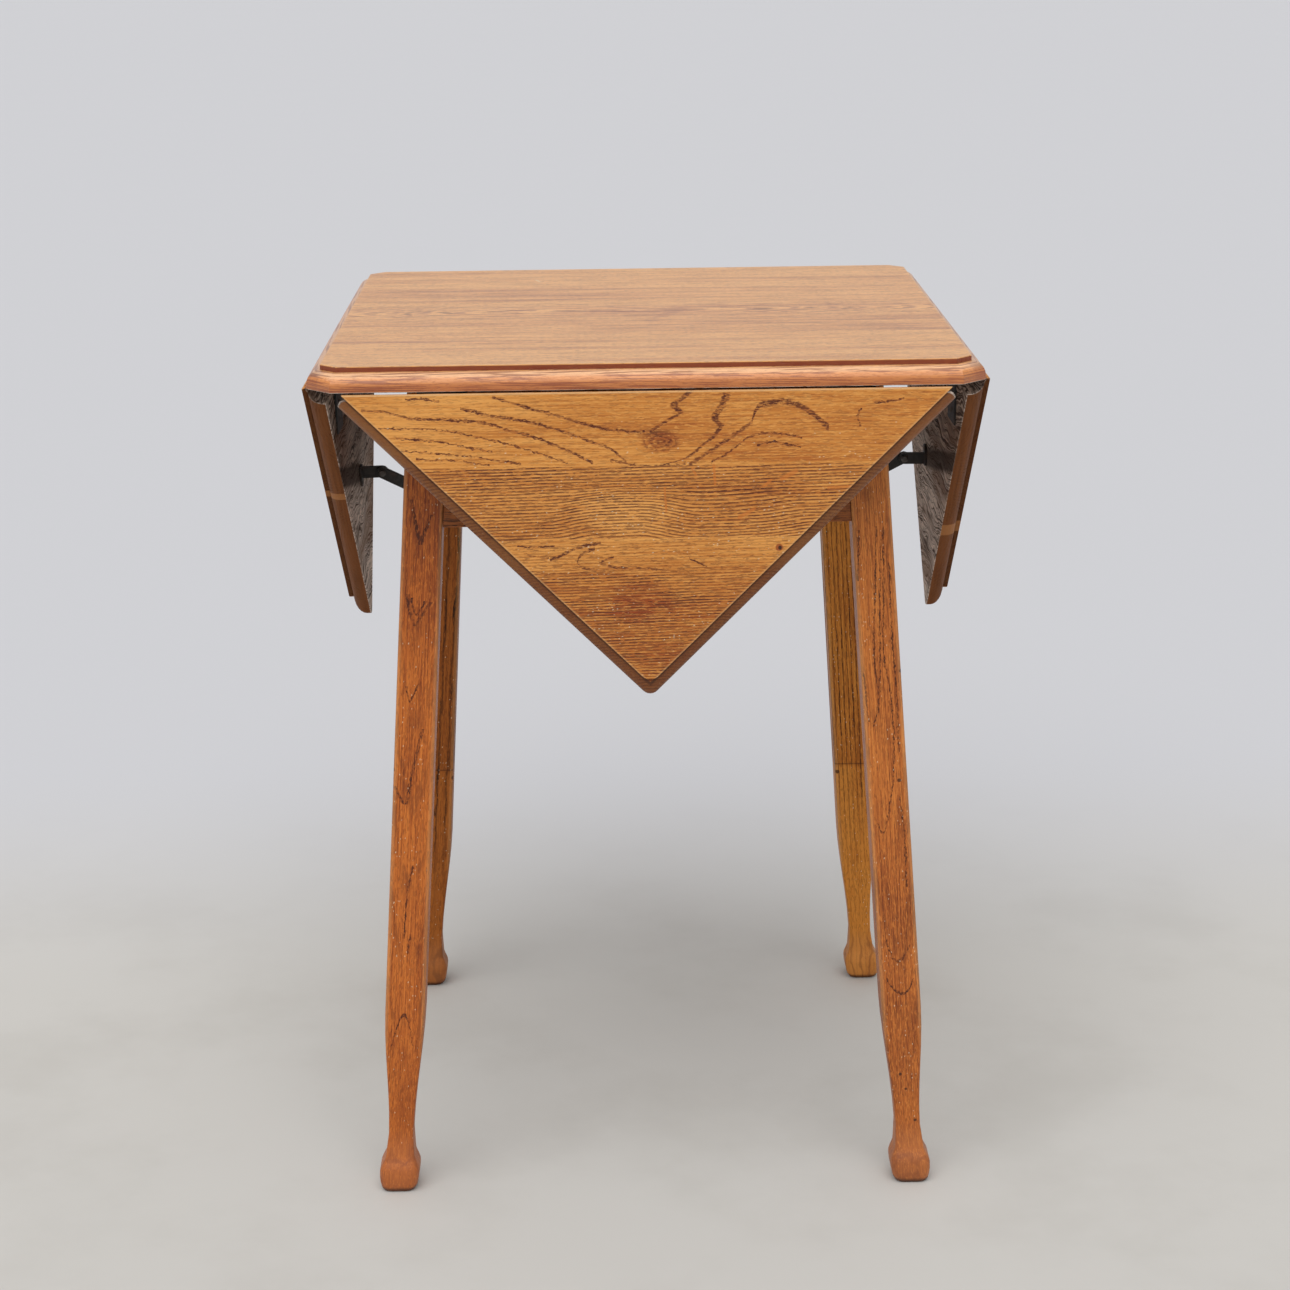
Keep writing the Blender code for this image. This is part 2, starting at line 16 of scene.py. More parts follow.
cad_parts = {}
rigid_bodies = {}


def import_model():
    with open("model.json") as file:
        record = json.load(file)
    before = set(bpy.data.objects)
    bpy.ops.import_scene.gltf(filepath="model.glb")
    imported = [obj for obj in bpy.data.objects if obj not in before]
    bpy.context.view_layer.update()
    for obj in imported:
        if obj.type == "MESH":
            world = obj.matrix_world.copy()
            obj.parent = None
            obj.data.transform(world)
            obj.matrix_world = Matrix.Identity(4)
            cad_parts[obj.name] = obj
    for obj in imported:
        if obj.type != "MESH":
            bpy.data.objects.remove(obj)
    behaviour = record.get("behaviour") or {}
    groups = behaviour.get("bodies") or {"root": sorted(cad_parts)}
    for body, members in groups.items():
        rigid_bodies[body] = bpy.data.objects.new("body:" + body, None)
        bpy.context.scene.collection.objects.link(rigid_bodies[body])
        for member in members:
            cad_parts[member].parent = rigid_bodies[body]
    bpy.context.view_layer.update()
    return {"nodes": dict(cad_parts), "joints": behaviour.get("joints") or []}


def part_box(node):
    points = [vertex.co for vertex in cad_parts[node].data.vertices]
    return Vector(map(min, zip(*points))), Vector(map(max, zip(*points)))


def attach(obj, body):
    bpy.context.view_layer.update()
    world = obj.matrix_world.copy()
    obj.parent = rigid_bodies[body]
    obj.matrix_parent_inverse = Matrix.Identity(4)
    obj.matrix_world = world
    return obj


for item in list(bpy.data.objects):
    bpy.data.objects.remove(item)
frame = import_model()

# Places taken from the frame
JOINTS = {joint["name"]: joint for joint in frame["joints"]}
AXIS_REACH = JOINTS["back_leaf_hinge"]["pos_m"][1]
AXIS_HEIGHT = JOINTS["back_leaf_hinge"]["pos_m"][2]
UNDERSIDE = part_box("top_board")[0].z
BOARD_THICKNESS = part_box("top_board")[1].z - UNDERSIDE
HINGE_RISE = AXIS_HEIGHT - UNDERSIDE
APRON_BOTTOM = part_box("apron_front")[0].z
FRAME_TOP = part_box("apron_front")[1].z

# Sizes of the parts that the patterns follow
FIELD_HALF = 0.2585
FILLET_STEP = 0.0045
LEAF_HALF_WIDTH = 0.240
LEAF_TRAVEL_DEGREES = 90.0
COVE_RADIUS = 0.0144
LEG_WIDTH = 0.033
LEG_TOP_REACH = 0.1769
FOOT_SPREAD = 0.0468
SPLAY = FOOT_SPREAD / UNDERSIDE
APRON_INSET = 0.0035
APRON_HALF_THICKNESS = 0.0079
BLOCK_HEIGHT = 0.045
HINGE_PLACE = 0.162
STAY_OFFSET = 0.015
STAY_DISTANCE = 0.1214
# How far the show face of a leaf starts from its hinge's axis
LIP = 0.0024
# What a clipped corner takes off each side of the field
CORNER_CLIP = 0.0137

# Each side's turn about Z, which carries +Y to the side's outward direction
SIDES = {
    "front": math.pi,
    "right": -math.pi / 2,
    "back": 0.0,
    "left": math.pi / 2,
}
# Whether a bracket's foot reaches down the hanging leaf from its lug, 1, or up, -1
BRACKET_DIRECTIONS = {"front": 1, "right": -1, "back": -1, "left": 1}
CORNERS = {
    "back_right": (1, 1),
    "back_left": (-1, 1),
    "front_left": (-1, -1),
    "front_right": (1, -1),
}

# Camera, fitted to the photograph
CAMERA_PLACE = Vector((-0.03235, -2.33711, 1.10324))
CAMERA_YAW = math.radians(0.785)
CAMERA_PITCH = math.radians(16.223)
CAMERA_ROLL = math.radians(-0.686)
CAMERA_LENS = 74.41
CAMERA_FAR = 200.0
SENSOR = 36.0


def srgb(red, green, blue):
    """Colour from 0 to 255 as written in a picture, turned into light."""
    shares = (value / 255 for value in (red, green, blue))
    return tuple(v / 12.92 if v < 0.04045 else ((v + 0.055) / 1.055) ** 2.4 for v in shares)


# Colours

class Oak(NamedTuple):
    """Colours of one lot of finished oak, from its palest fibres to its open pores."""
    light: tuple
    gold: tuple
    deep: tuple
    pore: tuple


LEAF_OAK = Oak(srgb(234, 166, 86), srgb(206, 132, 56), srgb(150, 66, 19), srgb(82, 31, 14))
TOP_OAK = Oak(srgb(248, 180, 100), srgb(234, 160, 82), srgb(166, 92, 46), srgb(116, 62, 40))
RED_OAK = Oak(srgb(210, 120, 46), srgb(182, 95, 31), srgb(126, 54, 15), srgb(70, 29, 13))
FAWN_OAK = Oak(srgb(214, 130, 56), srgb(186, 103, 40), srgb(128, 60, 20), srgb(70, 31, 14))
OLIVE_OAK = Oak(srgb(210, 136, 56), srgb(182, 107, 38), srgb(118, 61, 19), srgb(58, 29, 12))
# Brown oak of the back left leg, also the aprons' oak, where it stands for painted shade
BROWN_OAK = Oak(srgb(170, 98, 38), srgb(148, 80, 29), srgb(98, 50, 17), srgb(50, 26, 12))
OAK_RAY = srgb(206, 118, 44)
OAK_ORANGE = srgb(220, 126, 54)
# Painted highlight on the upper part of the top's moulding
OAK_PINK_HIGHLIGHT = srgb(254, 204, 164)
# Pale worn wood for worn rims and corners, also painted as a highlight along the leaves' lips
OAK_WORN_AND_HIGHLIGHT = srgb(232, 184, 126)
OAK_MATT = srgb(176, 128, 96)
# Dark dirt for dents and marks, also painted as shade in the mouldings' grooves and along the
# feet's soles
OAK_DIRT_AND_SHADE = srgb(62, 32, 17)
OAK_EDGE = srgb(114, 64, 31)
OAK_EDGE_PALE = srgb(178, 122, 74)
OAK_FILLET = srgb(128, 46, 8)
SIDE_EDGE = srgb(123, 75, 42)
SIDE_FILLET = srgb(80, 44, 25)
DARK_BAND = srgb(54, 38, 29)
WAX = srgb(240, 216, 180)
GREY_LIGHT = srgb(224, 207, 194)
GREY_DARK = srgb(88, 74, 67)
GREY_BROWN = srgb(124, 92, 70)
GREY_PORE = srgb(52, 43, 39)
IRON = srgb(36, 34, 33)
IRON_WORN = srgb(88, 84, 80)
IRON_RUST = srgb(74, 44, 28)
STEEL = srgb(120, 112, 102)
FLOOR = srgb(208, 206, 201)
FLOOR_STAIN = srgb(188, 185, 178)
WALL = srgb(209, 210, 214)
SKY = srgb(213, 212, 212)


# Node helpers

class Field:
    """A value that varies over a surface; arithmetic on it adds Math nodes to its material."""

    def __init__(self, tree, socket):
        self.tree = tree
        self.socket = socket

    def math(self, operation, *others):
        node = self.tree.nodes.new("ShaderNodeMath")
        node.operation = operation
        for place, value in zip(node.inputs, (self, *others)):
            feed(place, value)
        return Field(self.tree, node.outputs[0])

    def __add__(self, other):
        return self.math("ADD", other)

    def __sub__(self, other):
        return self.math("SUBTRACT", other)

    def __mul__(self, other):
        return self.math("MULTIPLY", other)

    def __truediv__(self, other):
        return self.math("DIVIDE", other)

    def squared(self):
        return self.math("MULTIPLY", self)

    def root(self):
        return self.math("SQRT")

    def size(self):
        return self.math("ABSOLUTE")

    def fraction(self):
        return self.math("FRACT")

    def least(self, other):
        return self.math("MINIMUM", other)

    def most(self, other):
        return self.math("MAXIMUM", other)

    def opposite(self):
        return self.math("MULTIPLY_ADD", -1.0, 1.0)

    def ease(self, low, high):
        """From 0 at low to 1 at high, eased at both ends; low may be the larger."""
        node = self.tree.nodes.new("ShaderNodeMapRange")
        node.interpolation_type = "SMOOTHSTEP"
        feed(node.inputs["Value"], self)
        feed(node.inputs["From Min"], low)
        feed(node.inputs["From Max"], high)
        return Field(self.tree, node.outputs["Result"])

    def past(self, edge, soft):
        """From 0 before an edge to 1 past it."""
        return self.ease(edge - soft, edge + soft)

    def between(self, low, high, soft):
        """1 from low to high, with soft ends."""
        return self.past(low, soft) * self.ease(high + soft, high - soft)


def feed(socket, value):
    if isinstance(value, Field):
        value.tree.links.new(value.socket, socket)
    elif isinstance(value, tuple) and socket.type == "RGBA":
        socket.default_value = (*value, 1.0)
    else:
        socket.default_value = value


def mix(share, first, second):
    """Colour that goes from first to second as share goes from 0 to 1."""
    node = share.tree.nodes.new("ShaderNodeMix")
    node.data_type = "RGBA"
    feed(node.inputs["Factor"], share)
    feed(node.inputs[6], first)
    feed(node.inputs[7], second)
    return Field(share.tree, node.outputs[2])


def choose(share, first, second):
    """Number that goes from first to second as share goes from 0 to 1."""
    node = share.tree.nodes.new("ShaderNodeMix")
    feed(node.inputs["Factor"], share)
    feed(node.inputs[2], first)
    feed(node.inputs[3], second)
    return Field(share.tree, node.outputs[0])


def combine(x, y, z):
    node = x.tree.nodes.new("ShaderNodeCombineXYZ")
    for place, value in zip(node.inputs, (x, y, z)):
        feed(place, value)
    return Field(x.tree, node.outputs[0])


def split(vector):
    node = vector.tree.nodes.new("ShaderNodeSeparateXYZ")
    feed(node.inputs[0], vector)
    return tuple(Field(vector.tree, socket) for socket in node.outputs)


def stretched(grain, along, across):
    """Grain coordinates in units of a streak's length and width."""
    u, v, w = grain
    return combine(u / along, v / across, w / across)


def noise(vector, detail=2.0, roughness=0.5):
    node = vector.tree.nodes.new("ShaderNodeTexNoise")
    feed(node.inputs["Vector"], vector)
    feed(node.inputs["Scale"], 1.0)
    feed(node.inputs["Detail"], detail)
    feed(node.inputs["Roughness"], roughness)
    return Field(vector.tree, node.outputs[0])


def streaks(grain, along, across, detail=2.0):
    return noise(stretched(grain, along, across), detail)


# Share of a dot's radius, or a line's half width, that is at full strength
CORE_SHARE = 0.4


def specks(vector, radius, share):
    """Dots of a radius in cell units, in a share of the cells."""
    node = vector.tree.nodes.new("ShaderNodeTexVoronoi")
    feed(node.inputs["Vector"], vector)
    feed(node.inputs["Scale"], 1.0)
    distance = Field(vector.tree, node.outputs["Distance"])
    lot = split(Field(vector.tree, node.outputs["Color"]))[0]
    return distance.ease(radius, radius * CORE_SHARE) * lot.ease(share, share - 0.02)


def spot(x, y, place, size):
    """1 at a place and 0 beyond an ellipse of that half width and half height."""
    across = ((x - place[0]) / size[0]).squared()
    up = ((y - place[1]) / size[1]).squared()
    return (across + up).ease(1.0, 0.0)


def patches(x, y, spots):
    """Spots added up, given as (place, half size, strength)."""
    shares = [spot(x, y, place, size) * strength for place, size, strength in spots]
    return sum(shares[1:], shares[0])


def clouds(point, size, detail, roughness=0.5):
    x, y, z = point
    return noise(combine(x / size, y / size, z / size), detail, roughness)


def ball(point, place, radius):
    """1 at a place and 0 beyond a radius."""
    apart = [(value - centre).squared() for value, centre in zip(point, place)]
    return ((apart[0] + apart[1] + apart[2]).root() / radius).ease(1.0, 0.6)


def metres(points):
    """Points in metres, from points in millimetres."""
    return [(first / 1000, second / 1000) for first, second in points]


def length(first, second):
    return (first.squared() + second.squared()).root()


def stroke(x, y, start, end, half_width):
    """1 along a straight stroke with round ends and 0 beyond its half width."""
    run = Vector(end) - Vector(start)
    x = x - start[0]
    y = y - start[1]
    along = ((x * run.x + y * run.y) / run.length_squared).most(0.0).least(1.0)
    return length(x - along * run.x, y - along * run.y).ease(half_width, half_width * CORE_SHARE)


def strokes(x, y, marks):
    """The strongest of several strokes, given as (start, end, half width) in millimetres."""
    strongest = x * 0.0
    for start, end, half_width in marks:
        strongest = strongest.most(stroke(x, y, *metres((start, end)), half_width / 1000))
    return strongest


# A line's leap at each end as a share of the line, and how far off it goes, in metres
LEAP_SHARE = 0.01
FAR_OFF = 1.0


def path(run, points):
    """Height of a smooth line through points, which leaps far off at the line's ends."""
    first, last = points[0][0], points[-1][0]
    scale = (1.0 - 2.0 * LEAP_SHARE) / (last - first)
    shift = LEAP_SHARE - first * scale
    node = run.tree.nodes.new("ShaderNodeFloatCurve")
    curve = node.mapping.curves[0]
    for place, height in points:
        curve.points.new(place * scale + shift, height)
    curve.points[0].location = (0.0, FAR_OFF)
    curve.points[-1].location = (1.0, FAR_OFF)
    for end in (0, 1, -2, -1):
        curve.points[end].handle_type = "VECTOR"
    node.mapping.update()
    feed(node.inputs["Value"], run.math("MULTIPLY_ADD", scale, shift))
    return Field(run.tree, node.outputs[0])


class Paint:
    """One material and the coordinates of the part it covers."""

    def __init__(self, name, into_part=Matrix.Identity(4)):
        self.material = bpy.data.materials.new(name)
        self.material.use_nodes = True
        self.tree = self.material.node_tree
        self.shader = self.tree.nodes["Principled BSDF"]
        place = self.tree.nodes.new("ShaderNodeTexCoord")
        mapping = self.tree.nodes.new("ShaderNodeMapping")
        mapping.inputs["Location"].default_value = into_part.to_translation()
        mapping.inputs["Rotation"].default_value = into_part.to_euler()
        self.tree.links.new(place.outputs["Object"], mapping.inputs["Vector"])
        self.point = split(Field(self.tree, mapping.outputs[0]))

    def shine(self, specular):
        self.shader.inputs["Specular IOR Level"].default_value = specular

    def finish(self, colour, roughness, height, depth, coat=None):
        """Join a look to the shader; depth is the height of a bump of 1."""
        bump = self.tree.nodes.new("ShaderNodeBump")
        feed(bump.inputs["Height"], height)
        bump.inputs["Distance"].default_value = depth
        feed(self.shader.inputs["Base Color"], colour)
        feed(self.shader.inputs["Roughness"], roughness)
        feed(self.shader.inputs["Normal"], Field(self.tree, bump.outputs[0]))
        if coat:
            feed(self.shader.inputs["Coat Weight"], coat)
            self.shader.inputs["Coat Roughness"].default_value = COAT_ROUGHNESS
        return self.material


# Oak

COAT_ROUGHNESS = 0.32
OAK_SPECULAR = 0.35
BACK_SPECULAR = 0.15
SIDE_SPECULAR = 0.03
PORE_DEPTH = 0.00025
BARE_DEPTH = 0.0003
# Streaks of the finished wood as (length, width)
RING_WAVER = (0.030, 0.006)
BAND_FADING = (0.045, 0.007)
PORE_DASH = (0.0050, 0.0010)
STRAY_PORE = (0.0060, 0.0009)
FIBRE = (0.060, 0.0012)
PATCH = (0.130, 0.022)
# Old wax: the waver of a fleck's edge, the fleck's cell and a cluster of flecks
WAX_WAVER = (0.0016, 0.0009)
WAX_CELL = (0.0040, 0.0019)
WAX_CLUSTER = (0.030, 0.012)
# Streaks of the bare wood
BARE_SWAY = (0.080, 0.030)
BARE_FIBRE = (0.120, 0.0014)
BARE_PATCH = (0.120, 0.016)
BARE_BROWN = (0.200, 0.040)
CRACK = (0.014, 0.0012)
# How far apart the patterns of stray pores and of glints lie
GLINT_SHIFT = 0.4
STRAYS = 0.5


def wood_pores(grain, rings, steady=0.0, early=0.46):
    """Where pores lie: each ring starts with a band of them, which fades unless it is steady.

    Early is the share of the ring that the band takes.
    """
    rings = rings + (streaks(grain, *RING_WAVER) - 0.5) * 0.7
    part = rings.fraction()
    strength = streaks(grain, *BAND_FADING).ease(0.34, 0.64).most(steady)
    return part.ease(0.0, 0.08) * part.ease(early, early * 0.4) * strength


def wax_specks(grain, waxed):
    """Short pale flecks of old wax, in clusters."""
    u, v, w = grain
    waver = (streaks(grain, *WAX_WAVER) - 0.5) * WAX_WAVER[0]
    cells = stretched((u + waver, v + waver, w), *WAX_CELL)
    cluster = streaks(grain, *WAX_CLUSTER).ease(0.40, 0.66)
    return specks(cells, radius=0.25, share=cluster * waxed * 0.60)


def oak(grain, pores, tone, colours, waxed, contrast=1.0, strays=STRAYS):
    """Finished oak as (colour, roughness, height).

    Pores show as dark dashes along the grain. Tone goes from 0, golden, to 1, deep brown, waxed
    is the share of flecks that hold pale wax, contrast strengthens the fibres, and strays the
    single pores between the rings.
    """
    u, v, w = grain
    dashes = pores * streaks(grain, *PORE_DASH).ease(0.40, 0.50)
    stray = streaks(grain, *STRAY_PORE).ease(0.55, 0.63)
    glint = streaks((u, v + GLINT_SHIFT, w), *STRAY_PORE).ease(0.55, 0.63)
    fibre = streaks(grain, *FIBRE, detail=3.0)
    patch = streaks(grain, *PATCH)
    depth = (patch - 0.5) * 0.8 + (fibre - 0.5) * 1.4 * contrast + tone
    colour = mix(depth.ease(-0.20, 0.50), colours.light, colours.gold)
    colour = mix(depth.ease(0.25, 1.15), colour, colours.deep)
    colour = mix(glint * 0.60, colour, colours.light)
    colour = mix(pores * 0.48, colour, colours.deep)
    colour = mix((dashes * 0.95).most(stray * strays), colour, colours.pore)
    colour = mix(wax_specks(grain, waxed) * 0.62, colour, WAX)
    roughness = fibre * 0.14 + dashes * 0.16 + 0.36
    height = (dashes.most(stray * 0.5) * -1.0) + fibre * 0.3
    return colour, roughness, height


def bare_oak(grain, rings):
    """Unfinished oak gone grey, as (colour, roughness, height)."""
    u, v, w = grain
    sway = streaks(grain, *BARE_SWAY) - 0.5
    grain = (u, v + sway * 0.034, w)
    pores = wood_pores(grain, rings * 0.7 + sway * 5.0, steady=0.4)
    fibre = streaks(grain, *BARE_FIBRE, detail=3.0)
    patch = streaks(grain, *BARE_PATCH)
    depth = (patch - 0.5) * 1.6 + (fibre - 0.5) * 4.0 + 0.34
    colour = mix(depth.ease(0.0, 1.0), GREY_LIGHT, GREY_DARK)
    colour = mix(streaks(grain, *BARE_BROWN).ease(0.48, 0.66) * 0.6, colour, GREY_BROWN)
    cracks = streaks(grain, *CRACK).ease(0.56, 0.68)
    colour = mix((pores * 0.55).most(cracks * 0.5), colour, GREY_PORE)
    roughness = fibre * 0.2 + 0.7
    height = fibre - cracks
    return colour, roughness, height


def log_rings(grain, pith, width, slope=0.0, bow=0.0):
    """Growth rings round a pith at (across, depth), with a slope and a bow along the grain."""
    u, v, w = grain
    reach = length(v - pith[0], w - pith[1])
    return (reach + u * slope + u.squared() * bow) / width


def two_finishes(bare, finished, raw):
    """Bare wood where bare is 1 and finished wood where it is 0."""
    colour = mix(bare, finished[0], raw[0])
    return colour, choose(bare, finished[1], raw[1]), choose(bare, finished[2], raw[2])


def tinted(look, share, colour):
    return mix(share, look[0], colour), look[1], look[2]


# Front leaf: three glued boards whose figure is laid out as the photograph shows it

UPPER_SEAM = 0.062
LOWER_SEAM = 0.121
SEAM_SOFT = 0.0002
# From where to where the lower board's arches give way to straight rings
ARCHES_END = (0.143, 0.153)
# How far through the leaf one straight ring reaches
RING_DEPTH = 0.006
UPPER_STRAYS = 0.24
KNOT = (0.010, 0.0425)
KNOT_STRETCH = 1.8
KNOT_RING = 0.0032
KNOT_BROW = (0.009, 0.0357)
SMALL_KNOT = (0.104, 0.130)
SMALL_HEART = (0.1046, 0.1302)
# Pore lines: the waver of their edges and how far it goes, their dots, and their fading
LINE_WAVER = (0.0035, 0.0018)
LINE_WANDER = 0.0044
LINE_DOT = (0.0026, 0.0013)
LINE_FADING = (0.028, 0.008)
# Pore lines of the upper board as (half width, points) in millimetres: level ones through
# (right, down) from the hinge's middle, steep ones through (down, right)
LEVEL_LINES = (
    (1.3, ((-190, 6), (-176, 6), (-163, 8))),
    (1.5, ((-225, 14), (-205, 16), (-187, 21), (-157, 23), (-127, 26), (-108, 32), (-83, 40),
           (-43, 59))),
    (1.7, ((-122, 5), (-100, 12), (-67, 22), (-37, 31), (-2, 35))),
    (1.6, ((-147, 14), (-117, 21), (-90, 26), (-62, 35), (-42, 43), (-28, 49), (-15, 61))),
    (1.0, ((-212, 29), (-163, 31), (-133, 37), (-100, 46), (-63, 59))),
    (1.0, ((-200, 37), (-167, 40), (-137, 46), (-122, 49))),
    (0.9, ((-195, 47), (-163, 50), (-130, 54), (-100, 59))),
    (0.9, ((-183, 54), (-150, 56), (-125, 60))),
    (3.6, ((82, 28), (85, 19), (97, 13), (112, 13), (130, 22), (143, 34))),
    (2.4, ((32, 62), (55, 47), (73, 35), (82, 28))),
    (1.2, ((50, 60), (67, 50), (80, 40), (93, 37), (107, 38), (122, 41))),
    (1.0, ((86, 47), (98, 44), (113, 47), (121, 48))),
    (1.2, ((178, 14), (190, 13), (202, 11))),
    (1.2, ((-30, 57), (-5, 62), (15, 62), (30, 60))),
)
STEEP_LINES = (
    (3.8, ((4, 62), (10, 61), (17, 57), (24, 53), (31, 58))),
    (2.3, ((31, 58), (39, 52), (47, 42), (53, 35), (58, 25), (62, 8))),
    (4.0, ((2, 34), (8, 28), (13, 21), (20, 27))),
    (2.8, ((20, 27), (25, 17), (30, 9), (35, 1))),
    (1.2, ((18, 168), (25, 166), (33, 168))),
)
# Pore lines of the lower board, level ones only
LOWER_LINES = (
    (1.0, ((-105, 126), (-92, 127), (-75, 126))),
    (1.9, ((-79, 137), (-70, 134), (-62, 130), (-50, 126), (-38, 124))),
    (1.0, ((-100, 132), (-90, 135), (-80, 136))),
    (2.0, ((-57.5, 141), (-56.5, 137), (-54, 134), (-50, 131), (-43, 129))),
    (1.5, ((-57.5, 140), (-55, 143), (-46, 146), (-30, 149), (-18, 152))),
    (1.4, ((-40, 141), (-36, 139), (-28, 136))),
    (1.4, ((-40, 141), (-33, 143), (-22, 145), (0, 146), (25, 149))),
    (1.0, ((-95, 147), (-70, 149), (-45, 148))),
    (1.0, ((32, 138), (38, 141), (46, 145))),
)
# Smooth ray flecks of the middle board as (start, end, half width), in millimetres
RAY_FLECKS = (
    ((52, 62), (53, 78), 1.5),
    ((35, 65), (38, 70), 1.3),
    ((13, 80), (14, 99), 1.2),
    ((106, 74), (117, 68), 2.6),
    ((143, 82), (163, 81), 1.8),
    ((92, 80), (97, 75), 1.6),
    ((72, 105), (84, 98), 2.0),
)
# Where the middle board's rings swell or draw back, as (place, half size, rings)
BULGES = (
    ((-0.020, 0.106), (0.060, 0.032), 1.8),
    ((0.06, 0.108), (0.07, 0.03), -1.5),
)
# Golden and dark patches as (place, half size, tone)
TONE_PATCHES = (
    ((-0.018, 0.101), (0.050, 0.020), -0.5),
    ((0.008, 0.181), (0.008, 0.005), -0.4),
    ((-0.008, 0.172), (0.034, 0.024), 0.36),
    ((0.085, 0.078), (0.05, 0.03), 0.10),
    (KNOT, (0.022, 0.011), 0.35),
)


def pore_lines(run, rise, lines):
    """The strongest of several pore lines that rise over their run."""
    strongest = run * 0.0
    for half_width, points in lines:
        apart = (rise - path(run, metres(points))).size()
        reach = half_width / 1000
        strongest = strongest.most(apart.ease(reach, reach * CORE_SHARE))
    return strongest


def ragged(grain):
    """How far the edge of a pore line wanders."""
    return (streaks(grain, *LINE_WAVER) - 0.5) * LINE_WANDER


def stippled(grain, lines):
    """Pore lines broken into dots, and fainter here and there."""
    dots = streaks(grain, *LINE_DOT).ease(0.34, 0.52) * 0.65 + 0.35
    return lines * dots * (streaks(grain, *LINE_FADING).ease(0.28, 0.56) * 0.4 + 0.6)


def upper_board_pores(grain, x, y):
    """Wavy lines, an arch, a kinked line and a knot."""
    waver = ragged(grain)
    lines = pore_lines(x, y + waver, LEVEL_LINES).most(pore_lines(y, x + waver, STEEP_LINES))
    ring = length((x - KNOT[0]) / KNOT_STRETCH, y - KNOT[1]) + waver * 0.9
    part = (ring / KNOT_RING).fraction()
    knot = part.ease(0.0, 0.2) * part.ease(0.85, 0.4) * ring.ease(0.0095, 0.0055)
    brow = spot(x, y, KNOT_BROW, (0.018, 0.0042)) * 0.8
    return stippled(grain, lines.most(knot * 0.8).most(brow))


def straight_rings(x, y, z, width, step):
    """Rings a width apart down the leaf, one more for each step to the right."""
    return y / width + x / step + z / RING_DEPTH


def front_leaf_pores(grain, x, y, z):
    """Pores over the front leaf, x to the right, y down from the hinge and z out of its face."""
    upper = upper_board_pores(grain, x, y)
    bulging = straight_rings(x, y, z, width=0.0026, step=0.11) + patches(x, y, BULGES)
    middle = wood_pores(grain, bulging, steady=0.75, early=0.66)
    straight = straight_rings(x, y, z, width=0.0024, step=0.09)
    point = wood_pores(grain, straight, steady=0.6, early=0.62)
    arches = stippled(grain, pore_lines(x, y + ragged(grain) * 0.6, LOWER_LINES))
    lower = choose(y.ease(*ARCHES_END), arches.most(point * 0.40), point)
    pores = choose(y.past(UPPER_SEAM, SEAM_SOFT), upper, middle)
    return choose(y.past(LOWER_SEAM, SEAM_SOFT), pores, lower)


def front_leaf_tone(x, y):
    """Golden boards above and below, a redder one between them, with patches of each."""
    red = y.between(UPPER_SEAM, LOWER_SEAM, 0.001) * 0.10 + y.ease(0.138, 0.165) * 0.36
    red = red + y.ease(LOWER_SEAM, LOWER_SEAM + 0.004) * 0.06
    red = red + x.ease(-0.16, 0.10) * y.ease(UPPER_SEAM, UPPER_SEAM - 0.004) * 0.25
    return red + patches(x, y, TONE_PATCHES) + 0.18


def front_leaf_marks(look, x, y):
    """Ray flecks and a small round knot."""
    look = tinted(look, strokes(x, y, RAY_FLECKS) * 0.65, OAK_RAY)
    knot = spot(x, y, SMALL_KNOT, (0.0036, 0.0036)).ease(0.0, 0.5)
    look = tinted(look, knot * 0.85, LEAF_OAK.deep)
    heart = spot(x, y, SMALL_HEART, (0.0018, 0.0021)).ease(0.0, 0.6)
    return tinted(look, heart, OAK_DIRT_AND_SHADE)


# All leaves

SHOW_FACE = BOARD_THICKNESS - HINGE_RISE
PLAIN_SEAMS = (0.075, 0.145)
LEAF_PATCH = (0.3, 0.05)
EDGE_STREAK = (0.050, 0.0030)
# Where a board of another tone meets the edge of a side leaf
EDGE_BANDS = {"left": (0.1100, 0.1165), "right": (0.1560, 0.1680)}
# A side leaf's underside is darker along a band that runs from the stay towards this end of the
# leaf
DARK_BAND_ENDS = {"left": -1, "right": 1}
DARK_BAND_SLOPE = 0.19


def plain_leaf_rings(grain, number):
    """Three glued boards cut from one log at different depths."""
    across = grain[1]
    slope = 0.035 + 0.01 * number
    first = log_rings(grain, pith=(0.03, -0.035), width=0.0032, slope=slope, bow=0.02)
    second = log_rings(grain, pith=(0.16, -0.010), width=0.0031, slope=-0.02)
    third = log_rings(grain, pith=(0.17, -0.05), width=0.0030, slope=0.04)
    rings = choose(across.past(PLAIN_SEAMS[0], SEAM_SOFT), first, second)
    return choose(across.past(PLAIN_SEAMS[1], SEAM_SOFT), rings, third)


def leaf_frame(side):
    """Matrix from the leaf's own frame, laid flat with the show face up, to the table."""
    joint = JOINTS[f"{side}_leaf_hinge"]
    lean = math.radians(joint["range_deg"][1] - LEAF_TRAVEL_DEGREES)
    turn = Matrix.Rotation(SIDES[side], 4, "Z") @ Matrix.Rotation(-math.pi / 2 - lean, 4, "X")
    return Matrix.Translation(joint["pos_m"]) @ turn


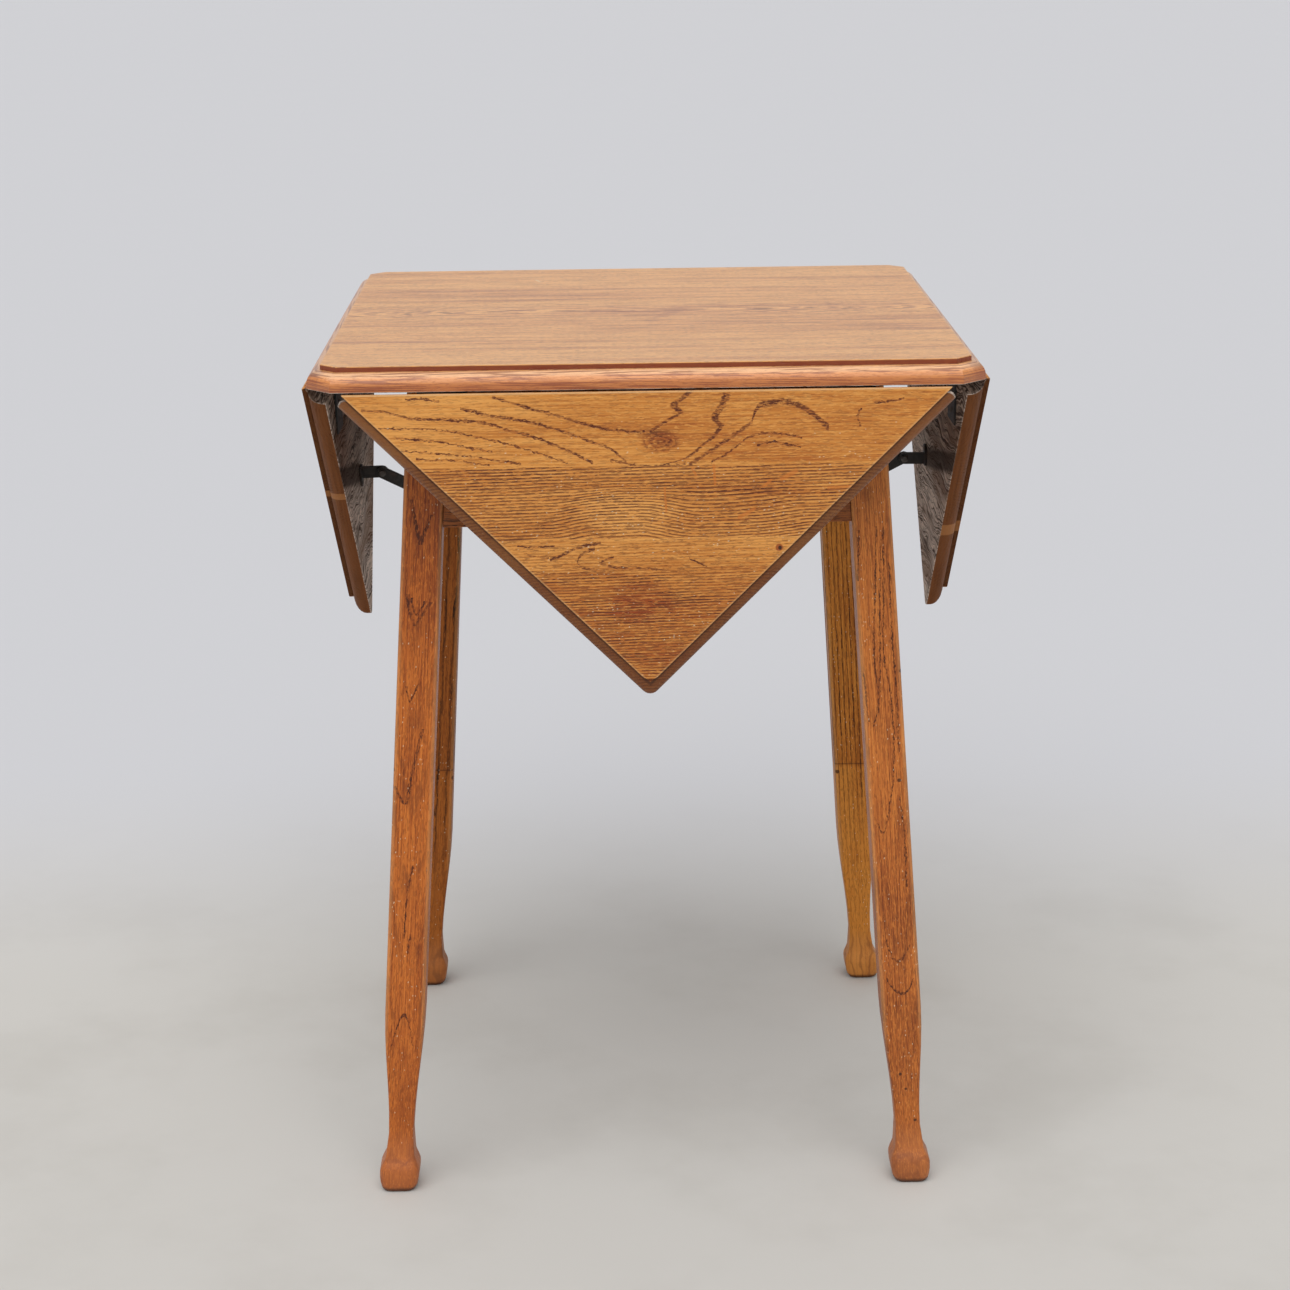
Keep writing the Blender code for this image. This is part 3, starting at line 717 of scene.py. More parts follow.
def leaf_edges(look, side, x, y, z):
    """Stained and worn mouldings round a leaf's show face, with a painted highlight on the lip and
    painted shade in the groove; drop is the depth below the show face.
    """
    from_field = (x.size() + y - LEAF_HALF_WIDTH - LIP) * math.sqrt(0.5)
    drop = (z - SHOW_FACE) * -1.0
    # Painted highlight along the lip at the top of the show face, where it faces the light above
    lip_highlight = (y - LIP).ease(0.0016, 0.0004) * drop.ease(0.0016, 0.0006)
    if side in EDGE_BANDS:
        edge = from_field.ease(-0.0006, -0.0003)
        look = tinted(look, edge * 0.9, SIDE_FILLET)
        ovolo = drop.ease(FILLET_STEP - 0.0004, FILLET_STEP + 0.0002)
        worn = streaks((y, z, from_field), *EDGE_STREAK).ease(0.40, 0.60) * 0.55 + 0.40
        look = tinted(look, edge * ovolo * worn, SIDE_EDGE)
        band = y.between(*EDGE_BANDS[side], 0.0004)
        look = tinted(look, edge * band * 0.7, OAK_EDGE_PALE)
        # Painted highlight along the lip
        look = tinted(look, lip_highlight * 0.5, OAK_WORN_AND_HIGHLIGHT)
    else:
        edge = from_field.ease(-0.0006, -0.0001) * drop.ease(0.0003, 0.0010)
        look = tinted(look, edge * 0.82, OAK_EDGE)
        corner = from_field.between(-0.0012, 0.0002, 0.0006) * drop.ease(0.0012, 0.0004)
        # Worn field corner, and the painted highlight along the lip
        look = tinted(look, (corner * 0.35).most(lip_highlight * 0.9), OAK_WORN_AND_HIGHLIGHT)
    # Painted shade in the groove at the foot of the fillet step
    shaded_groove = from_field.between(0.0, 0.0022, 0.0008) * drop.ease(0.0030, 0.0042)
    return tinted(look, shaded_groove * 0.6, OAK_DIRT_AND_SHADE)


def leaf_underside(side, number, point, rings):
    """Bare oak, darker along a band on the side leaves."""
    x, y, z = point
    raw = bare_oak((x + 0.2 * number, y, z), rings)
    if side not in DARK_BAND_ENDS:
        return raw
    along = (x + STAY_OFFSET) * DARK_BAND_ENDS[side]
    apart = (y - STAY_DISTANCE + along * DARK_BAND_SLOPE).size()
    # Darker along a band from the stay towards one end of the leaf
    dark_share = apart.ease(0.0130, 0.0060) * along.ease(-0.004, 0.004)
    return tinted(raw, dark_share * 0.85, DARK_BAND)


def leaf_material(side, number):
    paint = Paint(f"oak_leaf_{side}", leaf_frame(side).inverted())
    paint.shine(SIDE_SPECULAR if side in EDGE_BANDS else OAK_SPECULAR)
    x, y, z = paint.point
    grain = (x + 0.7 * number, y + 0.31 * number, z)
    rings = plain_leaf_rings(paint.point, number)
    waxed = y.ease(0.01, 0.10)
    if side == "front":
        right = x * -1.0
        pores = front_leaf_pores(grain, right, y, z - SHOW_FACE)
        strays = choose(y.past(UPPER_SEAM, SEAM_SOFT), UPPER_STRAYS, STRAYS)
        look = oak(grain, pores, front_leaf_tone(right, y), LEAF_OAK, waxed, strays=strays)
        look = front_leaf_marks(look, right, y)
    else:
        tone = streaks(grain, *LEAF_PATCH) * 0.9 - 0.12
        look = oak(grain, wood_pores(grain, rings, steady=0.1), tone, LEAF_OAK, waxed)
    look = leaf_edges(look, side, x, y, z)
    raw = leaf_underside(side, number, paint.point, rings)
    cove = (length(y, z) - COVE_RADIUS).ease(0.0008, 0.0004)
    under = (z + HINGE_RISE).ease(0.0009, 0.0005)
    look = two_finishes(cove.most(under), look, raw)
    return paint.finish(*look, PORE_DEPTH)


# Top board

TOP_COAT = 0.75
TOP_WAXED = 0.1
TOP_CONTRAST = 1.4
TOP_STREAK = (0.4, 0.014)
# The pith as (across, depth), and where the bow of the rings turns along the board
TOP_PITH = (0.002, -0.018)
TOP_BOW_MIDDLE = -0.012
FIGURE_WAVER = (0.016, 0.005)
MARK_STREAK = (0.025, 0.006)
MOULDING_STREAK = (0.140, 0.0014)
MOULDING_SLOPE = 0.035
SCRATCH = (-0.030, 0.186)
SCRATCH_LEAN = 0.35
# Dark marks across the middle of the board as (start, end, half width), in millimetres
TOP_MARKS = (
    ((38, 12), (8, -53), 9),
    ((-47, 0), (10, -5), 7),
    ((-27, 22), (20, 4), 5),
)


def top_figure(grain, x, y):
    """Broad lines of the cathedral figure along the board's middle, with a few dark marks."""
    rings = log_rings((x - TOP_BOW_MIDDLE, y, y * 0.0), TOP_PITH, width=0.0060, bow=0.58)
    rings = rings + (streaks(grain, *FIGURE_WAVER) - 0.5) * 0.9
    lines = wood_pores(grain, rings, steady=0.45, early=0.5) * y.size().ease(0.060, 0.025) * 0.9
    marks = strokes(x, y, TOP_MARKS) * streaks(grain, *MARK_STREAK).ease(0.34, 0.60)
    return lines.most(marks * 0.6)


def top_edges(look, point, outside, moulding, wall):
    """Streaked moulding with a painted highlight on its upper part, red fillet, painted shade in
    the groove and a worn rim; outside is the distance from the field.
    """
    x, y, depth = point
    drop = (depth - BOARD_THICKNESS) * -1.0
    # The moulding's upper part is painted pink as a highlight from the light above
    upper = depth.ease(0.0095, 0.0130)
    look = tinted(look, moulding * 0.65, mix(upper, OAK_ORANGE, OAK_PINK_HIGHLIGHT))
    sloped = (x + y, outside + depth + (x - y) * MOULDING_SLOPE, depth)
    streak = streaks(sloped, *MOULDING_STREAK).ease(0.50, 0.60)
    look = tinted(look, streak * moulding * 0.66, OAK_FILLET)
    look = tinted(look, wall * 0.95, OAK_FILLET)
    # Painted shade in the groove at the foot of the fillet
    shaded_groove = outside.between(0.0, 0.0010, 0.0004) * drop.ease(FILLET_STEP - 0.0014, FILLET_STEP)
    look = tinted(look, shaded_groove * 0.20, OAK_DIRT_AND_SHADE)
    rim = outside.between(-0.0014, 0.0002, 0.0006) * drop.ease(0.0008, 0.0002)
    look = tinted(look, rim * 0.25, OAK_WORN_AND_HIGHLIGHT)
    lower = outside.ease(0.004, 0.009) * depth.ease(0.011, 0.003)
    look = tinted(look, lower * 0.40, OAK_FILLET)
    end_grain = (x.size() - y.size()).ease(-0.004, 0.004) * moulding
    return tinted(look, end_grain * 0.25, OAK_FILLET)


def top_material():
    paint = Paint("oak_top")
    x, y, z = paint.point
    depth = z - UNDERSIDE
    grain = (x + 3.1, y + 0.2, depth)
    clip = (x.size() + y.size() - 2 * FIELD_HALF + CORNER_CLIP) * math.sqrt(0.5)
    outside = (x.size().most(y.size()) - FIELD_HALF).most(clip)
    moulding = outside.ease(0.0005, 0.0025)
    fillet = (depth - BOARD_THICKNESS).between(-FILLET_STEP, -0.0006, 0.0004)
    wall = outside.between(-0.0004, 0.0004, 0.0003) * fillet
    rings = log_rings((x - TOP_BOW_MIDDLE, y, depth), TOP_PITH, width=0.0031, bow=0.26)
    pores = wood_pores(grain, rings, steady=0.2) * choose(moulding, 0.9, 0.3)
    tone = (streaks(grain, *TOP_STREAK, detail=3.0) - 0.5) * 3.2
    tone = tone - y.ease(-0.14, -0.26) * 0.25 + 0.10
    look = oak(grain, pores, tone, TOP_OAK, TOP_WAXED, TOP_CONTRAST)
    look = tinted(look, top_figure(grain, x, y) * moulding.opposite(), TOP_OAK.deep)
    look = top_edges(look, (x, y, depth), outside, moulding, wall)
    scratch = spot(x + y * SCRATCH_LEAN, y, SCRATCH, (0.0012, 0.010))
    look = tinted(look, scratch, WAX)
    bare = depth.ease(0.0006, 0.0002)
    look = two_finishes(bare, look, bare_oak(grain, rings))
    return paint.finish(*look, PORE_DEPTH, bare.most(wall).opposite() * TOP_COAT)


# Legs

class LegFigure(NamedTuple):
    """Oak of one leg, seen from the front: the pith lies across and behind the leg's middle.

    Steep and level are pore lines on the front face as (half width, points) in millimetres, the
    steep ones through (height, right of the left edge) and the level ones the other way round.
    """
    oak: Oak
    pith: tuple
    ring_width: float
    ring_climb: float
    steady: float
    tone: float
    steep: tuple = ()
    level: tuple = ()


FRONT_LEFT_STEEP = (
    (2.0, ((571, 15.5), (590, 10.8), (609, 6.5))),
    (2.4, ((571, 15.5), (583, 19), (596, 23))),
    (1.8, ((503, 13.7), (516, 8.3), (530, 6.5))),
    (2.3, ((503, 13.7), (512, 19), (523, 26))),
    (1.3, ((511, 14.5), (519, 11), (527, 9.8))),
    (1.5, ((511, 14.5), (517, 18), (524, 21.5))),
    (1.0, ((438, 11), (445, 9), (452, 7.5))),
    (1.0, ((438, 11), (446, 15), (454, 18))),
    (2.0, ((350, 11.5), (380, 16), (399, 19.7), (415, 23))),
    (1.5, ((350, 10), (358, 5), (366, 1.5))),
    (1.2, ((232, 13.5), (270, 15), (297, 19))),
    (1.0, ((218, 17), (228, 18), (236, 19.5))),
)
FRONT_LEFT_LEVEL = (
    (2.4, ((4.5, 128), (9.5, 150), (15.5, 163), (21.5, 150), (24.5, 132))),
)
FRONT_RIGHT_STEEP = (
    (1.1, ((410, 6.5), (428, 12.5), (468, 11.5), (518, 14.8), (581, 19.8))),
    (0.9, ((331, 14.8), (368, 21.5), (441, 23.2), (468, 19.8), (518, 22.2), (581, 25.5))),
    (0.8, ((440, 15), (500, 17.8), (570, 22.6))),
    (0.9, ((388, 27.5), (441, 28.2), (491, 27.5), (551, 28.5))),
    (0.8, ((415, 3.5), (440, 2.5), (461, 1.5))),
    (0.9, ((535, 1.5), (556, 3.5), (578, 4.8))),
    (0.9, ((270, 27), (310, 28), (350, 26))),
)
FRONT_RIGHT_LEVEL = (
    (2.2, ((6.5, 225), (11.5, 208), (18.2, 205), (26.5, 218))),
    (1.6, ((4.8, 188), (14.8, 176), (23.2, 178), (28.2, 188))),
    (1.4, ((5, 330), (10, 318), (15, 331))),
)
LEG_FIGURES = {
    "front_left": LegFigure(
        RED_OAK, pith=(0.001, 0.026), ring_width=0.0031, ring_climb=0.0413, steady=0.0, tone=0.30,
        steep=FRONT_LEFT_STEEP, level=FRONT_LEFT_LEVEL),
    "front_right": LegFigure(
        FAWN_OAK, pith=(0.0, 0.030), ring_width=0.0031, ring_climb=0.030, steady=0.0, tone=0.38,
        steep=FRONT_RIGHT_STEEP, level=FRONT_RIGHT_LEVEL),
    "back_left": LegFigure(
        BROWN_OAK, pith=(-0.070, 0.020), ring_width=0.0085, ring_climb=0.012, steady=0.6,
        tone=0.26),
    "back_right": LegFigure(
        OLIVE_OAK, pith=(-0.080, 0.008), ring_width=0.0043, ring_climb=0.006, steady=0.65,
        tone=0.18),
}
# Old screw holes and dents as (place, radius)
LEG_MARKS = {
    "front_left": (((-0.2152, -0.2130, 0.380), 0.0024),),
    "front_right": (((0.2094, -0.2162, 0.364), 0.0021), ((0.2095, -0.2085, 0.458), 0.0022),
                    ((0.2128, -0.2303, 0.100), 0.0018), ((0.2178, -0.2301, 0.086), 0.0014),
                    ((0.2263, -0.2307, 0.0565), 0.0017)),
    "back_left": (((-0.1915, 0.1930, 0.232), 0.0026),),
    "back_right": (((0.1937, 0.1919, 0.232), 0.0026),),
}
# The back legs have a thin dark line at this height and are paler below it
BACK_LINE_HEIGHT = 0.2405
LEG_CONTRAST = 1.8
LEG_STRAYS = 0.34
LEG_WAXED = 0.7
LEG_PATCH = (0.2, 0.03)
FOOT_WAVER = (0.024, 0.016)
# From where to where the front left leg is painted darker on its way up, as shade under the top
SHADED_TOP = (0.42, 0.56)
# From where to where every leg changes on its way down
DARKER = (0.34, 0.24)
FEWER_PORES = 0.17
FEWEST_PORES = 0.10
SMOOTHER = (0.16, 0.05)
FOOT = (0.060, 0.035)
# Up to where the bottom of a foot is painted darker, as shade where it meets the floor
SHADED_SOLE = (0.006, 0.002)
# From where to where the front face and the worn corners start, measured from a leg's middle
FRONT_FACE = (-0.007, -0.010)
LEG_CORNER = (0.0125, 0.0158)


def leg_centre(z):
    """How far the middle of a leg lies from the table's, both along X and along Y."""
    return (z * -SPLAY) + LEG_TOP_REACH + UNDERSIDE * SPLAY


def drawn_pores(figure, grain, pores, place):
    """A leg's pores, with the lines drawn on its front face; place is (across, depth, height)."""
    across, depth, z = place
    waver = ragged(grain) * 0.8
    right = across + LEG_WIDTH / 2 + waver
    lines = pore_lines(z, right, figure.steep).most(pore_lines(right, z + waver, figure.level))
    drawn = (pores * 0.40).most(stippled(grain, lines))
    return choose(depth.ease(*FRONT_FACE), pores, drawn)


def leg_wear_and_shade(look, corner, place, point):
    """Worn corners, dents, the line round a back leg and painted shade along the bottom of the
    foot.
    """
    across, depth, z = place
    edge = across.size().least(depth.size()).ease(*LEG_CORNER) * z.ease(0.05, 0.15)
    look = tinted(look, edge * 0.22, OAK_WORN_AND_HIGHLIGHT)
    for dent, radius in LEG_MARKS[corner]:
        look = tinted(look, ball(point, dent, radius) * 0.85, OAK_DIRT_AND_SHADE)
    if corner.startswith("back"):
        mark = (z - BACK_LINE_HEIGHT).size().ease(0.0011, 0.0004)
        look = tinted(look, mark * 0.5, OAK_DIRT_AND_SHADE)
    # Painted shade along the bottom of the foot, where it meets the floor
    return tinted(look, z.ease(*SHADED_SOLE) * 0.8, OAK_DIRT_AND_SHADE)


def leg_material(corner, number):
    paint = Paint(f"oak_leg_{corner}")
    x, y, z = paint.point
    side, front = CORNERS[corner]
    at_back = front > 0
    paint.shine(BACK_SPECULAR if at_back else OAK_SPECULAR)
    figure = LEG_FIGURES[corner]
    centre = leg_centre(z)
    across = x - centre * side
    depth = y - centre * front
    place = (across, depth, z)
    grain = (z + 0.9 * number, across + 0.05 * number, depth)
    rings = log_rings((z * -1.0, across, depth), figure.pith, figure.ring_width, figure.ring_climb)
    foot = z.ease(*FOOT)
    fading = z.ease(BACK_LINE_HEIGHT if at_back else FEWER_PORES, FEWEST_PORES)
    pores = wood_pores(grain, rings, figure.steady, early=0.40) * (fading * -0.8 + 1.0)
    if figure.steep:
        pores = drawn_pores(figure, grain, pores, place)
    tone = streaks(grain, *LEG_PATCH) * 0.8 - 0.4 + figure.tone + z.ease(*DARKER) * 0.16
    # Painted shade on the front left leg under the top and leaf
    if corner == "front_left":
        tone = tone + z.ease(*SHADED_TOP) * 0.40
    if at_back:
        tone = tone - z.ease(BACK_LINE_HEIGHT, BACK_LINE_HEIGHT - 0.006) * 0.4
    waxed = foot.opposite() * LEG_WAXED
    contrast = z.ease(*SMOOTHER) * -1.2 + LEG_CONTRAST
    look = oak(grain, pores, tone, figure.oak, waxed, contrast, foot.opposite() * LEG_STRAYS)
    foot_rings = rings * 0.45 + streaks(grain, *FOOT_WAVER) * 1.8
    line = (foot_rings.fraction() - 0.5).size().ease(0.20, 0.04)
    look = tinted(look, line * foot * 0.45, figure.oak.deep)
    look = tinted(look, foot * 0.16, OAK_MATT)
    look = leg_wear_and_shade(look, corner, place, paint.point)
    return paint.finish(*look, PORE_DEPTH)


# Aprons and corner blocks

APRON_WAXED = 0.3
APRON_PATCH = (0.3, 0.04)
APRON_PITH = (0.66, 0.17)
BLOCK_PITH = (0.20, 0.65)


def apron_material(side, number):
    paint = Paint(f"oak_apron_{side}", Matrix.Rotation(-SIDES[side], 4, "Z"))
    paint.shine(OAK_SPECULAR)
    x, y, z = paint.point
    grain = (x + 1.3 * number, z, y)
    rings = log_rings((x, z, y), APRON_PITH, width=0.0032, slope=0.03)
    tone = streaks(grain, *APRON_PATCH) * 0.8 - 0.05
    # The aprons take the dark brown oak as painted shade, for their place under the top
    look = oak(grain, wood_pores(grain, rings, steady=0.1), tone, BROWN_OAK, APRON_WAXED)
    from_inside = y - leg_centre(z) - APRON_INSET + APRON_HALF_THICKNESS
    look = two_finishes(from_inside.ease(0.0003, -0.0003), look, bare_oak(grain, rings))
    return paint.finish(*look, PORE_DEPTH)


def block_material(corner, number):
    paint = Paint(f"bare_oak_block_{corner}")
    x, y, z = paint.point
    side, front = CORNERS[corner]
    along = (x * side - y * front) * math.sqrt(0.5)
    outward = (x * side + y * front) * math.sqrt(0.5)
    grain = (along + 0.4 * number, outward, z)
    rings = log_rings((along, outward, z), BLOCK_PITH, width=0.003, slope=0.05)
    return paint.finish(*bare_oak(grain, rings), BARE_DEPTH)


# Iron

IRON_DEPTH = 0.00012
IRON_CLOUD = 0.012
IRON_GRIT = 0.0012
RUST_PATCH = 0.02


def iron_material(name, base, worn_share):
    """Blackened iron with worn and rusty patches."""
    paint = Paint(name)
    cloud = clouds(paint.point, IRON_CLOUD, detail=4.0, roughness=0.6)
    grit = clouds(paint.point, IRON_GRIT, detail=2.0)
    rust = clouds(paint.point, RUST_PATCH, detail=3.0).ease(0.55, 0.7)
    colour = mix(cloud.ease(0.48, 0.66) * worn_share, base, IRON_WORN)
    colour = mix(rust * 0.5, colour, IRON_RUST)
    roughness = cloud * 0.25 + grit * 0.15 + 0.3
    return paint.finish(colour, roughness, grit + cloud, IRON_DEPTH)


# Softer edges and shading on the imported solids

SMOOTH_ANGLE = math.radians(38)
LEG_SMOOTH_ANGLE = math.radians(62)
WELD_DISTANCE = 0.00001
FLAT_ANGLE = math.radians(0.5)
BEVEL_ANGLE = math.radians(40)
BEVEL_SEGMENTS = 2
WOOD_EDGE = 0.0004
LEG_EDGE = 0.0003
IRON_EDGE = 0.0003
SMALL_EDGE = 0.0001


def shading_group(name, smooth_angle):
    """Geometry nodes that shade a mesh smooth except across sharp edges."""
    group = bpy.data.node_groups.new(name, "GeometryNodeTree")
    group.interface.new_socket("Geometry", in_out="INPUT", socket_type="NodeSocketGeometry")
    group.interface.new_socket("Geometry", in_out="OUTPUT", socket_type="NodeSocketGeometry")
    nodes, links = group.nodes, group.links
    start, end = nodes.new("NodeGroupInput"), nodes.new("NodeGroupOutput")
    faces, edges = (nodes.new("GeometryNodeSetShadeSmooth") for _ in range(2))
    faces.domain, edges.domain = "FACE", "EDGE"
    angle, test = nodes.new("GeometryNodeInputMeshEdgeAngle"), nodes.new("FunctionNodeCompare")
    test.operation = "LESS_THAN"
    test.inputs[1].default_value = smooth_angle
    links.new(angle.outputs["Unsigned Angle"], test.inputs[0])
    links.new(test.outputs[0], edges.inputs["Shade Smooth"])
    links.new(start.outputs[0], faces.inputs["Geometry"])
    links.new(faces.outputs[0], edges.inputs["Geometry"])
    links.new(edges.outputs[0], end.inputs[0])
    return group


SHADING = shading_group("shade_by_angle", SMOOTH_ANGLE)
LEG_SHADING = shading_group("shade_legs", LEG_SMOOTH_ANGLE)


def soften(piece, width, shading):
    """Weld the triangles into faces, ease the sharp edges and shade round faces smooth."""
    weld = piece.modifiers.new("weld", "WELD")
    weld.merge_threshold = WELD_DISTANCE
    flat = piece.modifiers.new("flat_faces", "DECIMATE")
    flat.decimate_type = "DISSOLVE"
    flat.angle_limit = FLAT_ANGLE
    bevel = piece.modifiers.new("eased_edges", "BEVEL")
    bevel.width = width
    bevel.segments = BEVEL_SEGMENTS
    bevel.limit_method = "ANGLE"
    bevel.angle_limit = BEVEL_ANGLE
    shade = piece.modifiers.new("shading", "NODES")
    shade.node_group = shading
    normals = piece.modifiers.new("normals", "WEIGHTED_NORMAL")
    normals.keep_sharp = True


def dress(node, material, width, shading=SHADING):
    piece = frame["nodes"][node]
    piece.data.materials.clear()
    piece.data.materials.append(material)
    soften(piece, width, shading)


# Screws

SCREW_RADIUS = 0.0026
SCREW_RISE = 0.0006
SCREW_SLOT = 0.0007
SCREW_SLOT_SHARE = 0.98
SCREW_SUNK_SHARE = 0.3
SCREW_STEPS = 10
# A domed head as (share of the radius, share of the rise), from below to its top
SCREW_DOME = ((1.0, -SCREW_SUNK_SHARE), (1.0, 0.15), (0.8, 0.7), (0.45, 1.0))


def half_dome(side):
    """Rings of one half of a domed head, beside a slot that runs along X."""
    rings = []
    start = math.asin(SCREW_SLOT / 2 / SCREW_RADIUS)
    for share, rise in SCREW_DOME:
        ring = []
        for step in range(SCREW_STEPS + 1):
            angle = start + (math.pi - 2 * start) * step / SCREW_STEPS
            x = SCREW_RADIUS * share * math.cos(angle)
            y = max(SCREW_RADIUS * share * math.sin(angle), SCREW_SLOT / 2)
            ring.append(Vector((x * side, y * side, SCREW_RISE * rise)))
        rings.append(ring)
    return rings


def add_screw_head(shape, place):
    """A slotted, slightly domed head that faces +Z of a placing matrix."""
    for side in (1, -1):
        rings = [[shape.verts.new(place @ point) for point in ring] for ring in half_dome(side)]
        for low, high in zip(rings, rings[1:]):
            for step in range(SCREW_STEPS):
                shape.faces.new((low[step], low[step + 1], high[step + 1], high[step]))
        shape.faces.new(rings[-1])
        shape.faces.new(list(reversed(rings[0])))
        shape.faces.new([ring[0] for ring in rings] + [ring[-1] for ring in reversed(rings)])
    sunk = SCREW_RISE * SCREW_SUNK_SHARE
    size = Matrix.Diagonal((2 * SCREW_RADIUS * SCREW_SLOT_SHARE, SCREW_SLOT, sunk, 1.0))
    slot_floor = place @ Matrix.Translation((0.0, 0.0, -sunk / 2)) @ size
    bmesh.ops.create_cube(shape, size=1.0, matrix=slot_floor)


def screw_group(name, body, places, material):
    shape = bmesh.new()
    for place in places:
        add_screw_head(shape, place)
    mesh = bpy.data.meshes.new(name)
    shape.to_mesh(mesh)
    shape.free()
    mesh.shade_smooth()
    mesh.set_sharp_from_angle(angle=SMOOTH_ANGLE)
    mesh.materials.append(material)
    piece = bpy.data.objects.new(name, mesh)
    bpy.context.scene.collection.objects.link(piece)
    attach(piece, body)


FACE_DOWN = Matrix.Rotation(math.pi, 4, "X")
LEAF_PLATE_FACE = -0.0032
BRACKET_FACE = -0.0037
BOARD_PLATE_FACE = UNDERSIDE - 0.0018
KEEPER_FACE = APRON_BOTTOM - 0.0023
BOARD_PLATE_SCREWS = ((-0.012, -0.011), (0.012, -0.011), (0.0, -0.021))
LEAF_PLATE_SCREWS = ((-0.012, 0.013), (0.012, 0.013), (0.0, 0.027), (0.0, 0.043))
BLOCK_SCREWS = ((0.148, 0.128), (0.128, 0.148))
BRACKET_SCREW = 0.0083
KEEPER_SCREW_SPREAD = 0.0118


def leaf_screws(side):
    points = [(place + x, y, LEAF_PLATE_FACE) for place in (-HINGE_PLACE, HINGE_PLACE)
              for x, y in LEAF_PLATE_SCREWS]
    bracket = STAY_DISTANCE + BRACKET_SCREW * BRACKET_DIRECTIONS[side]
    points.append((-STAY_OFFSET, bracket, BRACKET_FACE))
    return [leaf_frame(side) @ Matrix.Translation(point) @ FACE_DOWN for point in points]


def frame_screws():
    places = []
    for side, turn in SIDES.items():
        base = Matrix.Rotation(turn, 4, "Z")
        for place in (-HINGE_PLACE, HINGE_PLACE):
            for x, y in BOARD_PLATE_SCREWS:
                point = (place + x, AXIS_REACH + y, BOARD_PLATE_FACE)
                places.append(base @ Matrix.Translation(point) @ FACE_DOWN)
        low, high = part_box(f"stay_keeper_{side}")
        middle = (low + high) / 2
        along = Vector((math.cos(turn), math.sin(turn), 0.0))
        for sign in (-1, 1):
            point = Vector((middle.x, middle.y, KEEPER_FACE)) + along * KEEPER_SCREW_SPREAD * sign
            places.append(Matrix.Translation(point) @ FACE_DOWN)
    for side, front in CORNERS.values():
        for x, y in BLOCK_SCREWS:
            point = (x * side, y * front, FRAME_TOP - BLOCK_HEIGHT)
            places.append(Matrix.Translation(point) @ FACE_DOWN)
    return places


# Stage

FLOOR_HALF = 40.0
FLOOR_CLOUD = 0.25
FLOOR_DEPTH = 0.0002
# From where to where the floor behind the table turns into the backdrop's colour
WALL_START = 0.15
WALL_FULL = 0.95


def floor():
    mesh = bpy.data.meshes.new("floor")
    corners = [(-FLOOR_HALF, -FLOOR_HALF, 0.0), (FLOOR_HALF, -FLOOR_HALF, 0.0),
               (FLOOR_HALF, FLOOR_HALF, 0.0), (-FLOOR_HALF, FLOOR_HALF, 0.0)]
    mesh.from_pydata(corners, [], [(0, 1, 2, 3)])
    piece = bpy.data.objects.new("floor", mesh)
    bpy.context.scene.collection.objects.link(piece)
    paint = Paint("pale_floor")
    cloud = clouds(paint.point, FLOOR_CLOUD, detail=5.0, roughness=0.6)
    far = paint.point[1].ease(WALL_START, WALL_FULL)
    colour = mix(cloud.ease(0.42, 0.72) * 0.35, FLOOR, FLOOR_STAIN)
    colour = mix(far, colour, WALL)
    mesh.materials.append(paint.finish(colour, cloud * 0.1 + 0.65, cloud, FLOOR_DEPTH))


SUN_ENERGY = 1.6
SUN_ANGLE = math.radians(60)
SUN_TURN = (math.radians(31), math.radians(-8), 0.0)
SKY_STRENGTH = 0.85


def lights():
    sun = bpy.data.lights.new("softbox", "SUN")
    sun.energy = SUN_ENERGY
    sun.angle = SUN_ANGLE
    lamp = bpy.data.objects.new("softbox", sun)
    lamp.rotation_euler = SUN_TURN
    bpy.context.scene.collection.objects.link(lamp)
    world = bpy.data.worlds.new("studio")
    world.use_nodes = True
    bpy.context.scene.world = world
    background = world.node_tree.nodes["Background"]
    background.inputs["Color"].default_value = (*SKY, 1.0)
    background.inputs["Strength"].default_value = SKY_STRENGTH


